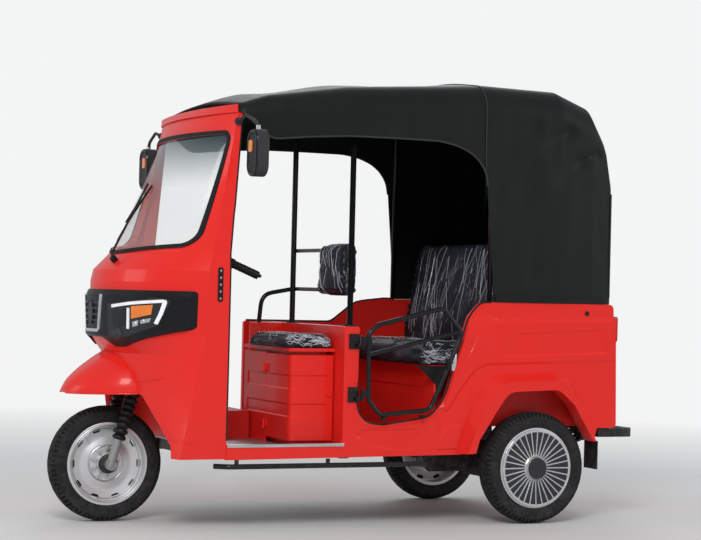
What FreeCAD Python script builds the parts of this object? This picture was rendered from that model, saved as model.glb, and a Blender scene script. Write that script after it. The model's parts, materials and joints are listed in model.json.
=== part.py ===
import FreeCAD, Part
import math
import os

# An electric auto rickshaw with a steel body, a vinyl canopy and three wheels.
# X points forward and is measured from the rear axle in the code, Y points to the left, Z up.
# Every sub-part is then moved so that the origin is the bottom centre of the whole vehicle.

V = FreeCAD.Vector
UP = V(0, 0, 1)
LEFT = V(0, 1, 0)
FORWARD = V(1, 0, 0)
doc = FreeCAD.newDocument("auto_rickshaw")
sheet = doc.addObject("Spreadsheet::Sheet", "sizes")

SIZES = (
    # name, millimetres (or degrees, or a count)
    ("wheelbase", 1800), ("rear_overhang", 534), ("rear_track", 990), ("body_outside_track", 15),
    ("tyre_diameter", 490), ("tyre_width", 104), ("rim_diameter", 352), ("rim_width", 92),
    ("slot_count", 10), ("spoke_count", 32), ("cover_radius", 170),
    ("axle_radius", 14), ("front_axle_radius", 8), ("running_gap", 0.08), ("joint_gap", 0.3),
    ("body_width", "=rear_track + 2 * body_outside_track"), ("wall", 22), ("tail_panel", 20),
    ("frame_top", 335), ("floor_thickness", 8), ("rail_height", 48), ("rail_width", 50), ("rail_inset", 235),
    ("door_front", 1440), ("pillar_front", 920), ("pillar_rear", 851), ("pillar_top", 852),
    ("sill_bottom", 296), ("sill_top", 358), ("waist", 968), ("body_rear", -425),
    ("flare_width", 60), ("seam_height", 1020), ("screen_top", 1728),
    ("panel_proud", 18), ("lamp_proud", 8), ("glass_thickness", 5),
    ("seat_left", 410), ("seat_right", -120), ("seat_front", 1125), ("seat_bottom", 365),
    ("seat_top", 730), ("seat_skin", 10), ("door_hinge_y", 140), ("cushion_thickness", 68),
    ("bench_front", 540), ("bench_top", 690), ("bench_cushion_thickness", 88),
    ("backrest_thickness", 85), ("canopy_thickness", 6),
    ("tube_radius", 11), ("pole_radius", 12.5), ("pole_x", 872), ("pole_y", "=body_width / 2 - 60"),
    ("gate_stand_off", 22), ("gate_tube_radius", 10), ("gate_hinge_x", 842), ("hinge_pin_radius", 5),
    ("rake", 17), ("fork_offset", 30), ("fork_half_width", 86), ("leg_radius", 19), ("stem_radius", 16),
    ("head_low", 452), ("head_high", 600), ("handlebar_rise", 880), ("grip_length", 110),
    ("mirror_reach", 190), ("mirror_z", 1548), ("bumper_height", 39), ("bumper_bottom", 374),
    ("plate_bolt_spacing", 150), ("plate_bolt_radius", 4), ("tow_eye_radius", 12),
)
for row, (name, value) in enumerate(SIZES, 1):
    sheet.set("A%d" % row, name)
    sheet.set("B%d" % row, str(value))
    sheet.setAlias("B%d" % row, name)
doc.recompute()

CENTRE = "-(sizes.wheelbase + sizes.tyre_diameter / 2 - sizes.rear_overhang) / 2"
sub_parts = []


def size(name):
    return float(sheet.get(name))


def place(obj, label):
    obj.Label = label
    obj.setExpression(".Placement.Base.x", CENTRE)
    sub_parts.append(obj)
    return obj


def feature(label, shape):
    obj = doc.addObject("Part::Feature", label)
    obj.Shape = shape if shape.Placement.isIdentity() else Part.makeCompound([shape])
    return place(obj, label)


# Outlines are rows of (first axis, second axis, corner radius), turned into lines and tangent arcs.

def in_xz(y):
    return lambda a, b: V(a, y, b)


def in_yz(x):
    return lambda a, b: V(x, a, b)


def in_xy(z):
    return lambda a, b: V(a, b, z)


def rounded_edges(corners, closed):
    count = len(corners)
    joints = []
    for i, (here, radius) in enumerate(corners):
        if radius <= 0 or (not closed and i in (0, count - 1)):
            joints.append((here, None, here))
            continue
        back = (corners[i - 1][0] - here).normalize()
        ahead = (corners[(i + 1) % count][0] - here).normalize()
        half = back.getAngle(ahead) / 2
        reach = radius / math.tan(half)
        middle = here + (back + ahead).normalize() * (radius / math.sin(half) - radius)
        joints.append((here + back * reach, middle, here + ahead * reach))
    edges = []
    for i, (start, middle, end) in enumerate(joints):
        if middle is not None:
            edges.append(Part.Arc(start, middle, end))
        if i < count - 1 or closed:
            following = joints[(i + 1) % count][0]
            if (following - end).Length > 1e-6:
                edges.append(Part.LineSegment(end, following))
    return edges


def outline(rows, to_space):
    corners = [(to_space(a, b), radius) for a, b, radius in rows]
    return Part.Wire([edge.toShape() for edge in rounded_edges(corners, True)])


def slab(rows, to_space, depth):
    return Part.Face(outline(rows, to_space)).extrude(depth)


def box(x, y, z):
    return Part.makeBox(x[1] - x[0], y[1] - y[0], z[1] - z[0], V(x[0], y[0], z[0]))


def tube(points, radius, bend):
    corners = [(point, bend) for point in points]
    path = Part.Wire([edge.toShape() for edge in rounded_edges(corners, False)])
    ring = Part.Wire([Part.makeCircle(radius, points[0], points[1] - points[0])])
    return path.makePipeShell([ring], True, False)


def tube_loop(points, radius, bend):
    corners = [(point, bend) for point in points]
    edges = [edge.toShape() for edge in rounded_edges(corners, True)]
    first = edges[0]
    start = first.valueAt(first.FirstParameter)
    ring = Part.Wire([Part.makeCircle(radius, start, first.tangentAt(first.FirstParameter))])
    return Part.Wire(edges).makePipeShell([ring], True, False)


def both_sides(shape):
    return Part.makeCompound([shape, mirrored(shape)])


def mirrored(shape):
    return shape.mirror(V(0, 0, 0), LEFT)


def fused(shapes):
    return shapes[0].multiFuse(shapes[1:]).removeSplitter()


def body_with_sketch(label, role, rows, offset):
    # A part design body whose first sketch holds the outline, on the plane of that role.
    body = doc.addObject("PartDesign::Body", label)
    sketch = body.newObject("Sketcher::SketchObject", label + "_outline")
    plane = [item for item in body.Origin.OriginFeatures if item.Role == role][0]
    sketch.AttachmentSupport = [(plane, "")]
    sketch.MapMode = "FlatFace"
    sketch.setExpression(".AttachmentOffset.Base.z", offset)
    corners = [(V(a, b, 0), radius) for a, b, radius in rows]
    sketch.addGeometry(rounded_edges(corners, True), False)
    return body, sketch


def padded_body(label, role, rows, offset, length):
    body, sketch = body_with_sketch(label, role, rows, offset)
    pad = body.newObject("PartDesign::Pad", label + "_pad")
    pad.Profile = sketch
    pad.setExpression("Length", length)
    doc.recompute()
    return place(body, label)


def add_fillet(body, radius):
    base = body.Tip
    fillet = body.newObject("PartDesign::Fillet", body.Name + "_fillet")
    fillet.Base = (base, ["Edge%d" % (i + 1) for i in range(len(base.Shape.Edges))])
    fillet.Radius = radius
    body.Tip = fillet
    doc.recompute()


half_body = size("body_width") / 2
gate_y = half_body + size("gate_stand_off")
rail_y = size("rear_track") / 2 - size("rail_inset")
rail_outer = rail_y + size("rail_width") / 2
spring_y = rail_outer + 22
spring_width = 46
inner_body = half_body - size("wall")
gap = size("joint_gap")
house_inner = size("rear_track") / 2 - 85
rear_plane = size("body_rear") + 12
tyre_radius = size("tyre_diameter") / 2
floor_top = size("frame_top") + size("floor_thickness")
steer_rake = math.radians(size("rake"))
steer_axis = V(-math.sin(steer_rake), 0, math.cos(steer_rake))
steer_ahead = V(math.cos(steer_rake), 0, math.sin(steer_rake))
front_centre = V(size("wheelbase"), 0, tyre_radius)
steer_foot = front_centre - steer_ahead * size("fork_offset")


def along(distance, ahead=0, y=0):
    # A point at this distance up the steering axis.
    return steer_foot + steer_axis * distance + steer_ahead * ahead + LEFT * y


# Chassis

def make_chassis_frame():
    top = size("frame_top")
    low = top - size("rail_height")
    kick_top = 480
    kick_low = kick_top - size("rail_height")
    rail_inner = rail_outer - size("rail_width")
    tail = rear_plane + size("tail_panel") + gap
    rail_rows = (
        (1490, low, 0), (1490, top, 0), (455, top, 30), (330, kick_top, 30), (tail, kick_top, 0),
        (tail, kick_low, 0), (305, kick_low, 30), (430, low, 30),
    )
    rail = slab(rail_rows, in_xz(rail_inner), LEFT * size("rail_width"))
    cross_width = rail_inner + 5
    crosses = []
    for x, z in ((1440, low), (900, low), (500, low), (260, kick_low), (tail, kick_low)):
        crosses.append(box((x, x + 40), (-cross_width, cross_width), (z, z + size("rail_height"))))
    outriggers = []
    for x in (540, 880, 1380):
        arm = box((x, x + 40), (rail_inner + 5, inner_body - gap), (low + 8, top))
        outriggers += [arm, mirrored(arm)]
    eye_drop = 106
    eye_plate = box((tail, tail + 60), (-30, 30), (kick_low - eye_drop - 26, kick_low + 10))
    eye_hole = Part.makeCylinder(size("tow_eye_radius"), 80, V(tail + 30, -40, kick_low - eye_drop), LEFT)
    frame = fused([rail, mirrored(rail), eye_plate] + crosses + outriggers)
    return feature("chassis_frame", frame.cut(eye_hole))


def make_steering_neck():
    # The neck stands on the front cross member and carries the head tube, clear of the turning fork crown.
    foot = size("frame_top") + gap
    rows = ((1400, foot, 0), (1480, foot, 20), (1500, 560, 40), (1550, 648, 10), (1612, 668, 0), (1640, 706, 0),
            (1590, 800, 0), (1470, 640, 60))
    neck = slab(rows, in_xz(-35), LEFT * 70)
    head = Part.makeCylinder(size("stem_radius") + 16, size("head_high") - size("head_low"), along(size("head_low")),
                             steer_axis)
    bore = Part.makeCylinder(size("stem_radius") + size("running_gap"), 1200, steer_foot, steer_axis)
    crown_sweep = Part.makeCylinder(130, 60, along(size("head_low") - 60), steer_axis)
    return feature("steering_neck", neck.cut(crown_sweep).fuse(head).cut(bore))


def make_floor_pan():
    # Notched around the steering neck, and narrower where it runs into the cowl.
    edge, cowl_edge, neck = inner_body - gap, inner_body - 8, 38
    door = size("door_front")
    right = ((500, -edge, 0), (door, -edge, 0), (door, -cowl_edge, 0), (1500, -cowl_edge, 0), (1500, -neck, 0),
             (1397, -neck, 0))
    rows = right + tuple((x, -y, radius) for x, y, radius in reversed(right))
    return padded_body("floor_pan", "XY_Plane", rows, "sizes.frame_top", "sizes.floor_thickness")


def make_rear_deck():
    # The raised floor over the rear axle, with a riser at its front and a box over each wheel.
    skin = 8
    deck_low = 480
    deck = box((-385, 470), (-house_inner, house_inner), (deck_low, deck_low + skin))
    riser = box((462, 470), (-house_inner, house_inner), (floor_top + gap, deck_low))
    wall_rows = ((-300, 420, 0), (330, 420, 0), (330, 560, 60), (250, 655, 60), (-220, 655, 60), (-300, 560, 40))
    wall = slab(wall_rows, in_xz(house_inner), LEFT * skin)
    crown_rows = ((-300, 560, 40), (-220, 655, 60), (250, 655, 60), (330, 560, 60), (330, 470, 0), (322, 470, 0),
                  (322, 556, 52), (246, 647, 52), (-216, 647, 52), (-292, 556, 32), (-292, 470, 0), (-300, 470, 0))
    crown = slab(crown_rows, in_xz(house_inner + skin - 1), LEFT * (inner_body - house_inner - skin + 1 - gap))
    house = wall.fuse(crown)
    return feature("rear_deck", fused([deck, riser, house, mirrored(house)]))


def make_rear_axle():
    end = size("rear_track") / 2 - 55
    centre = V(0, 0, tyre_radius)
    axle = Part.makeCylinder(30, 2 * end, centre - LEFT * end, LEFT)
    parts = [axle]
    for side in (-1, 1):
        drum = Part.makeCylinder(82, 55, centre + LEFT * side * (end - 55), LEFT * side)
        stub = Part.makeCylinder(size("axle_radius"), 92, centre + LEFT * side * end, LEFT * side)
        parts += [drum, stub]
        pad = sorted((side * (spring_y - 2), side * (spring_y + spring_width + 2)))
        parts.append(box((-40, 40), pad, (tyre_radius, tyre_radius + 36)))
    return feature("rear_axle", fused(parts))


def make_motor_block():
    # Motor and differential as one block around the axle tube.
    radius = 85
    block = Part.makeCylinder(radius, 240, V(0, -90, tyre_radius), LEFT)
    arm = Part.makeCylinder(62, 210, V(radius - 10, 60, tyre_radius + 6), FORWARD)
    tunnel = Part.makeCylinder(30 + gap, 400, V(0, -200, tyre_radius), LEFT)
    return feature("motor_block", block.fuse(arm).cut(tunnel))


def make_rear_springs():
    # Leaf packs on the axle pads; the eyes hang from the raised rails by shackles.
    pad_top = tyre_radius + 36
    leaf_thickness, camber, y = 9, 75, spring_y
    full_length = 360
    springs = []
    for i, half_length in enumerate((full_length, 250, 160)):
        low = pad_top + i * leaf_thickness
        end_low = low + camber * (half_length / full_length) ** 2
        ends = [V(-half_length, y, end_low), V(half_length, y, end_low)]
        up = UP * leaf_thickness
        edges = [Part.Arc(ends[0], V(0, y, low), ends[1]), Part.LineSegment(ends[1], ends[1] + up),
                 Part.Arc(ends[1] + up, V(0, y, low) + up, ends[0] + up), Part.LineSegment(ends[0] + up, ends[0])]
        springs.append(Part.Face(Part.Wire([edge.toShape() for edge in edges])).extrude(LEFT * spring_width))
    for x in (-352, 352):
        springs.append(Part.makeCylinder(16, spring_width, V(x, y, pad_top + camber + 9), LEFT))
        springs.append(box((x - 12, x + 12), (rail_outer + gap, y + 12), (pad_top + camber, pad_top + camber + 100)))
    return feature("rear_springs", both_sides(fused(springs)))


def make_side_steps():
    # A round step tube under each sill, on two short posts.
    radius = 11
    z = 268
    y = half_body - 8
    points = [V(1475, y - 40, size("sill_bottom") - gap), V(1475, y - 40, z), V(1420, y, z), V(520, y, z)]
    step = tube(points[1:], radius, 40)
    posts = [Part.makeCylinder(radius - 2, size("sill_bottom") - z, V(x, y - 2, z), UP) for x in (560, 980, 1390)]
    return feature("side_steps", both_sides(fused([step] + posts)))


# Body panels

LEFT_SIDE = (
    # x, z, corner radius
    (1440, "sill_bottom", 0), (1440, "sill_top", 0), (920, "sill_top", 18), (920, "pillar_top", 8),
    (851, "pillar_top", 8), (856, 500, 30), (813, 449, 30), (742, 436, 30), (511, 469, 40), (441, 551, 60),
    (374, 776, 100), (334, 905, 60), (276, "waist", 40), (-398, "waist", 20), (-402, 905, 0), (-414, 893, 0),
    ("body_rear", 417, 20),
    (-326, 416, 10), (-312, 362, 10), (-275, 362, 10), (-173, 523, 60), (-95, 589, 70), (155, 580, 80),
    (217, 494, 40), (297, 373, 30), (318, 312, 0), (358, 306, 0),
)
RIGHT_SIDE = (
    (990, 420, 20), (1060, "sill_top", 40), (1440, "sill_top", 0), (1440, "sill_bottom", 0), (358, 306, 0),
    (318, 312, 0), (297, 373, 30), (217, 494, 40), (155, 580, 80), (-95, 589, 70), (-173, 523, 60), (-275, 362, 10),
    (-312, 362, 10), (-326, 416, 10), ("body_rear", 417, 20), (-414, 893, 0), (-402, 905, 0), (-398, "waist", 20),
    (276, "waist", 60),
    (420, 950, 120), (545, "pillar_top", 60), (990, "pillar_top", 12),
)
ARCH = ((-275, 300, 0), (-275, 362, 10), (-173, 523, 60), (-95, 589, 70), (155, 580, 80), (217, 494, 40),
        (297, 373, 30), (318, 300, 0))
FLARE = ((-300, 362, 0), (-252, 520, 60), (-182, 632, 60), (-105, 663, 60), (195, 653, 90), (258, 609, 60),
         (337, 458, 60), (378, 312, 0))


def sized(rows):
    # Rows may name a size of the sheet instead of a number.
    return [tuple(size(item) if isinstance(item, str) else item for item in row) for row in rows]


# Pressings in the sides: x, z at the foot of the bevel, then x, z at its other edge

SWAGE = (
    (-398, 908, -398, 892), (185, 897, 188, 881), (250, 925, 238, 858), (326, 905, 341, 850), (370, 772, 365, 770),
    (436, 551, 430, 553), (468, 506, 452, 512), (436, 482, 436, 500), (414, 504, 420, 516), (374, 566, 382, 577),
    (331, 621, 338, 634), (289, 668, 296, 684), (236, 690, 238, 704), (-412, 709, -412, 723),
)
SWAGE_RECESS = ((158, 728, 140, 738), (156, 748, 138, 746), (98, 838, 88, 826), (-366, 862, -340, 849),
                (-382, 745, -352, 756))
SWAGE_PAD = ((318, 702, 324, 728), (340, 712, 334, 718), (292, 823, 288, 817), (213, 828, 220, 822),
             (243, 716, 244, 748))
SILL_RECESS = ((866, 352, 800, 362), (862, 392, 846, 388), (833, 421, 826, 411), (572, 424, 580, 413),
               (551, 390, 562, 388), (572, 325, 581, 335), (680, 322, 690, 336))
SILL_PAD = ((478, 328, 470, 333), (443, 426, 437, 419), (402, 440, 399, 431), (347, 441, 351, 431),
            (379, 328, 382, 333))


def belt(z):
    # Heights are drawn for a waist of 968 and keep their share between the wheel arch and the waist.
    return 670 + (z - 670) * (size("waist") - 670) / 298


def pressing(rows, start, end, height):
    # A bevelled form standing on a face of the left side, from one depth to another.
    foot = outline([(x, height(z), 0) for x, z, _, _ in rows], in_xz(start))
    face = outline([(x, height(z), 0) for _, _, x, z in rows], in_xz(end))
    return Part.makeLoft([foot, face], True, True)


def pressed(side):
    # The raised swage with its own recess and pad, and the recess and pad of the sill below.
    face, crest, same = half_body, half_body + 6, lambda z: z
    side = side.fuse(pressing(SWAGE, face - 1, crest, belt)).cut(pressing(SWAGE_RECESS, crest + 1, crest - 4, belt))
    side = side.fuse(pressing(SWAGE_PAD, crest - 1, crest + 2, belt)).fuse(pressing(SILL_PAD, face - 1, face + 5, same))
    return side.cut(pressing(SILL_RECESS, face + 1, face - 4, same))


def make_body_sides():
    panels = [slab(sized(rows), in_xz(inner_body), LEFT * size("wall")) for rows in (LEFT_SIDE, RIGHT_SIDE)]
    feature("body_side_left", pressed(panels[0]))
    feature("body_side_right", mirrored(pressed(panels[1])))


def make_arch_flares():
    # The lip around each rear wheel, widest at the arch edge.
    outer = half_body + size("flare_width")
    root = outline(FLARE, in_xz(half_body + gap))
    rim_rows = ((-288, 362, 0), (-218, 523, 60), (-135, 612, 60), (-80, 630, 60), (170, 622, 90), (228, 570, 60),
                (312, 420, 60), (352, 312, 0))
    rim = outline(rim_rows, in_xz(outer))
    flare = Part.makeLoft([root, rim], True, True)
    opening = slab(ARCH, in_xz(half_body - 5), LEFT * 200)
    below = box((-400, 500), (half_body - 5, half_body + 200), (0, 312))
    flare = flare.cut(opening).cut(below)
    return feature("arch_flares", both_sides(flare))


def make_rear_panel():
    rows = ((-inner_body + gap, 417, 0), (inner_body - gap, 417, 0), (inner_body - gap, size("waist"), 30),
            (-inner_body + gap, size("waist"), 30))
    panel = slab(rows, in_yz(rear_plane), FORWARD * size("tail_panel"))
    spacing = size("plate_bolt_spacing") / 2
    for y in (-spacing, spacing):
        panel = panel.cut(Part.makeCylinder(size("plate_bolt_radius"), 60, V(rear_plane - 10, y, 620), FORWARD))
    return feature("rear_panel", panel)


def make_partition():
    rows = ((-inner_body + gap, floor_top, 0), (inner_body - gap, floor_top, 0),
            (inner_body - gap, size("pillar_top"), 0), (-inner_body + gap, size("pillar_top"), 0))
    return padded_body("partition", "YZ_Plane", rows, "sizes.pillar_rear", "sizes.pillar_front - sizes.pillar_rear")


# Front cowl and windscreen: horizontal sections of a wrap-round shell

COWL = (
    # z, inset from the body's side, rear edge x, side end x, nose x
    (300, 4, 1440, 1640, 1745), (550, 1, 1440, 1590, 1775), (720, 0, 1440, 1560, 1800),
    (790, 0, 1440, 1540, 1855), (1020, 0, 1440, 1535, 1858),
)
SCREEN = ((1020, 0, 1440, 1535, 1858), (1070, 0, 1440, 1533, 1846), (1145, 5, 1440, 1515, 1770),
          (1728, 22, 1395, 1415, 1487))


def front_section(row, grow, rear=None):
    z, inset, back, side, nose = row
    half = half_body - inset + grow
    side += grow * 0.4
    nose += grow
    back = back if rear is None else rear
    right_rear, right_side = V(back, -half, z), V(side, -half, z)
    left_side, left_rear = V(side, half, z), V(back, half, z)
    edges = [Part.LineSegment(right_rear, right_side), Part.Arc(right_side, V(nose, 0, z), left_side),
             Part.LineSegment(left_side, left_rear), Part.LineSegment(left_rear, right_rear)]
    return Part.Wire([edge.toShape() for edge in edges])


def front_loft(rows, grow, rear=None):
    return Part.makeLoft([front_section(row, grow, rear) for row in rows], True, True)


def stretched(rows, below, above):
    # The same sections with the first and last moved past the ends, for cutting tools.
    rows = list(rows)
    first, last = rows[0], rows[-1]
    return [(first[0] - below,) + first[1:]] + rows[1:-1] + [(last[0] + above,) + last[1:]]


def make_front_cowl():
    outer = front_loft(COWL, 0)
    inner = front_loft(stretched(COWL, 1, 1), -size("wall"), 1300)
    wheel_rows = ((-462, 250, 0), (462, 250, 0), (440, 350, 0), (255, 555, 0), (170, 555, 0), (170, 690, 40),
                  (-170, 690, 40), (-170, 555, 0), (-255, 555, 0), (-440, 350, 0))
    wheel_gap = slab(wheel_rows, in_yz(1500), FORWARD * 500)
    # A sunk band runs beside the lower edge of the wheel opening.
    band_rows = ((455, 250, 0), (492, 250, 0), (468, 372, 0), (280, 548, 0), (250, 548, 0), (430, 350, 0))
    skin = front_loft(stretched(COWL, 2, 1), 2).cut(front_loft(stretched(COWL, 3, 2), -4, 1250))
    band = skin.common(both_sides(slab(band_rows, in_yz(1500), FORWARD * 500)))
    return feature("front_cowl", outer.cut(inner).cut(wheel_gap).cut(band))


HOLE_LOW, HOLE_HIGH = half_body - 65, half_body - 48
SCREEN_HOLE = ((-HOLE_LOW, 1185, 60), (-HOLE_HIGH, 1640, 35), (HOLE_HIGH, 1640, 35), (HOLE_LOW, 1185, 60),
               (0, 1150, 1500))


def grown(rows, amount):
    # The windscreen outline, larger by this amount all round.
    middle = (rows[0][1] + rows[1][1]) / 2
    return [(y + amount * (y > 0) - amount * (y < 0), z + amount * (z > middle) - amount * (z < middle),
             radius + amount) for y, z, radius in rows]


def make_windscreen():
    outer = front_loft(SCREEN, 0)
    inner = front_loft(stretched(SCREEN, 0.5, 0.5), -size("wall"), 1250)
    hole = slab(SCREEN_HOLE, in_yz(1300), FORWARD * 700)
    frame = feature("windscreen_frame", outer.cut(inner).cut(hole))
    glass_shell = front_loft(stretched(SCREEN, 0, 0), -8).cut(
        front_loft(stretched(SCREEN, 0.5, 0.5), -8 - size("glass_thickness"), 1250))
    pane_rows = grown(SCREEN_HOLE, -gap)
    pane = glass_shell.common(slab(pane_rows, in_yz(1300), FORWARD * 700))
    feature("windscreen_glass", pane)
    rim_shell = front_loft(SCREEN, 5).cut(front_loft(stretched(SCREEN, 1, 1), gap, 1250))
    rim_rows = grown(SCREEN_HOLE, 16)
    rim = rim_shell.common(slab(rim_rows, in_yz(1300), FORWARD * 700)).cut(hole)
    feature("windscreen_gasket", rim)
    return frame


PANEL = ((-492, 985, 12), (-492, 830, 20), (-215, 748, 40), (-150, 745, 20), (-100, 785, 20), (100, 785, 20),
         (150, 745, 20), (215, 748, 40), (492, 830, 20), (492, 985, 12))


PANEL_BULGE = ((742, 0.35), (790, 0.8), (962, 1), (988, 0.3))


def panel_loft(grow, rear=None):
    # The cowl's sections pushed out to the panel's face: height, and share of how far the panel stands out.
    rows = []
    for z, share in PANEL_BULGE:
        low, high = [pair for pair in zip(COWL, COWL[1:]) if pair[0][0] <= z <= pair[1][0]][0]
        up = (z - low[0]) / (high[0] - low[0])
        inset, back, side, nose = [a + (b - a) * up for a, b in zip(low[1:], high[1:])]
        proud = size("panel_proud") * share
        rows.append((z, inset - proud, back, side + 0.4 * proud, nose + proud))
    return front_loft(rows, grow, rear)


def make_lamp_panel():
    shell = panel_loft(0).cut(front_loft(stretched(COWL, 1, 1), gap, 1250))
    panel = shell.common(slab(PANEL, in_yz(1300), FORWARD * 700))
    return feature("lamp_panel", panel)


LAMP = ((165, 925, 14), (175, 790, 12), (215, 770, 14), (400, 838, 14), (445, 945, 10), (400, 955, 10))


def make_headlamps():
    shell = panel_loft(size("lamp_proud")).cut(panel_loft(gap, 1250))
    lamp = shell.common(slab(LAMP, in_yz(1300), FORWARD * 700))
    return feature("headlamps", both_sides(lamp))


def make_grille():
    # A U of bright trim with slats on both sides of a bare oval.
    shell = panel_loft(7).cut(panel_loft(gap, 1250))
    u_rows = ((-118, 965, 4), (-92, 805, 20), (92, 805, 20), (118, 965, 4), (104, 965, 0), (80, 818, 12),
              (-80, 818, 12), (-104, 965, 0))
    trim = [shell.common(slab(u_rows, in_yz(1300), FORWARD * 700))]
    for z in (850, 875, 900, 925):
        bar = shell.common(slab(((32, z, 0), (106, z, 0), (106, z + 8, 0), (32, z + 8, 0)), in_yz(1300), FORWARD * 700))
        reach = 84 + (z - 818) * 0.16
        bar = bar.common(box((1300, 2000), (0, reach), (z - 5, z + 15)))
        trim += [bar, mirrored(bar)]
    oval = Part.Face(Part.Wire([Part.Ellipse(V(1300, 0, 888), 50, 30).toShape()]))
    oval.rotate(V(1300, 0, 888), LEFT, 90)
    trim.append(shell.common(oval.extrude(FORWARD * 700)))
    return feature("grille", fused(trim))


FENDER = (
    # x, half width, bottom z, top z
    (1640, 255, 556, 745), (1780, 232, 552, 728), (1880, 180, 549, 672), (1955, 110, 547, 612), (1990, 45, 546, 566),
)


def fender_loft(grow, below):
    wires = []
    for x, half, low, top in FENDER:
        half += grow
        top += grow
        low -= below
        rows = ((half, low, 0), (half * 0.80, low + (top - low) * 0.62, 0), (half * 0.34, top, 0),
                (-half * 0.34, top, 0), (-half * 0.80, low + (top - low) * 0.62, 0), (-half, low, 0))
        wires.append(outline(rows, in_yz(x + grow)))
    return Part.makeLoft(wires, True, True)


def make_front_fender():
    skin = 8
    fender = fender_loft(0, 0).cut(fender_loft(-skin, 20))
    return feature("front_fender", fender.cut(front_loft(stretched(COWL, 1, 1), gap)))


def make_toe_board():
    rows = ((1500 + gap, floor_top + gap, 0), (1508, floor_top + gap, 0), (1566, 600, 0), (1558, 600, 0))
    reach = inner_body - 8
    board = slab(rows, in_xz(-reach), LEFT * 2 * reach)
    return feature("toe_board", board.cut(box((1300, 1700), (-38, 38), (300, 700))))


def make_brow_visor():
    # The red peak over the windscreen, with the canopy front behind it.
    top = size("screen_top")
    rows = ((top + gap, 21, 1415, 1421, 1495), (top + 34, 30, 1415, 1420, 1470))
    peak = front_loft(rows, 0)
    return feature("brow_visor", peak)


def make_wiper():
    # The pivot stands square on the cowl below the glass, left of the middle.
    screen = front_loft(SCREEN, 0)
    level = Part.makeLine(V(1300, 95, 1105), V(2200, 95, 1105)).common(screen)
    seat = max((vertex.Point for vertex in level.Vertexes), key=lambda point: point.x)
    face = min(screen.Faces, key=lambda item: item.distToShape(Part.Vertex(seat))[0])
    outward = face.normalAt(*face.Surface.parameter(seat))
    boss = Part.makeCylinder(14, 24, seat + outward * 0.8, outward)
    foot = seat + outward * 18
    arm = tube([foot, foot + V(4, -6, 20), V(1647, 30, 1440)], 5, 8)
    return feature("wiper", arm.fuse(boss))


def make_mirrors():
    head_rows = ((-55, -95, 45), (55, -95, 45), (55, 95, 40), (-55, 95, 40))
    centre = V(1404, half_body + size("mirror_reach"), size("mirror_z"))
    head = slab([(centre.y + a, centre.z + b, radius) for a, b, radius in head_rows], in_yz(centre.x - 20), FORWARD * 45)
    foot = V(1416, half_body - 20.1, 1690)
    arm = tube([foot + LEFT * 4, foot + V(0, 90, 20), centre + V(4, 0, 120), centre + V(4, 0, 70)], 7, 40)
    pad = Part.makeCylinder(16, 8, foot, LEFT)
    return feature("mirrors", both_sides(fused([head, arm, pad])))


# Seats

CHANNELS = ((0.266, 0.433), (0.586, 0.764))


def channelled(shape):
    # Two pressed channels round the seat box: shares of its height. They end short of its rear edge.
    left, right, front = size("seat_left"), size("seat_right"), size("seat_front")
    bottom, height = size("seat_bottom"), size("seat_top") - size("seat_bottom")
    for low, high in CHANNELS:
        low, high = bottom + low * height, bottom + high * height
        wires = []
        for z, inset in ((low, -1), (low + 8, 4), (high - 8, 4), (high, -1)):
            rows = ((800, right - 20, 0), (front - inset, right - 20, 0), (front - inset, left - inset, 28 - inset),
                    (800, left - inset, 0))
            wires.append(outline(rows, in_xy(z)))
        around = box((size("pillar_front") + 32, front + 20), (right + 40, left + 20), (low, high))
        shape = shape.cut(around.cut(Part.makeLoft(wires, True, True)))
    return shape


def make_seat_box():
    skin = size("seat_skin")
    left, right, front = size("seat_left"), size("seat_right"), size("seat_front")
    low, top, hinge = size("seat_bottom"), size("seat_top"), size("door_hinge_y")
    back = size("pillar_front") + gap
    front_wall = box((front - skin, front), (right, hinge - 2), (floor_top, top))
    right_wall = box((back, front), (right, right + skin), (floor_top, top))
    plinth = box((back, front - 30), (right, left - 30), (floor_top, low - 4))
    plinth = plinth.cut(box((back + skin, front - 40), (right + skin, left - 40), (floor_top - 1, low + 1)))
    top_ring = box((back, front - skin - 12), (right, left - skin - 12), (top - 12, top))
    top_ring = top_ring.cut(box((back + 40, front - 60), (right + 50, left - 60), (top - 20, top + 1)))
    post = box((back, back + 30), (left - 50, left - skin - 12), (floor_top, top))
    parts = [front_wall, right_wall, plinth, top_ring, post]
    for z in hinge_heights():
        parts.append(Part.makeCylinder(3, 42, V(front + 6.5, hinge, z - 12), UP))
        parts.append(Part.makeCylinder(6, 11, V(front + 6.5, hinge, z - 12), UP))
        parts.append(box((front - 1, front + 5), (hinge - 24, hinge - 2), (z - 12, z - 1)))
        parts.append(box((front + 1, front + 5), (hinge - 4, hinge), (z - 12, z - 1)))
    return feature("seat_box", channelled(fused(parts)))


def hinge_heights():
    return size("seat_bottom") + 45, size("seat_top") - 79


def make_seat_lid():
    top = size("seat_top")
    front = size("seat_front")
    rows = ((size("pillar_front") + 2, size("seat_right") - 4, 0), (front + 8, size("seat_right") - 4, 25),
            (front + 8, size("seat_left") + 4, 25), (size("pillar_front") + 2, size("seat_left") + 4, 0))
    rim = slab(rows, in_xy(top + 12), UP * 14)
    riser = box((size("pillar_front") + 20, front - 40), (size("seat_right") + 30, size("seat_left") - 40),
                (top + gap, top + 12))
    return feature("seat_lid", rim.fuse(riser))


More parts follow.
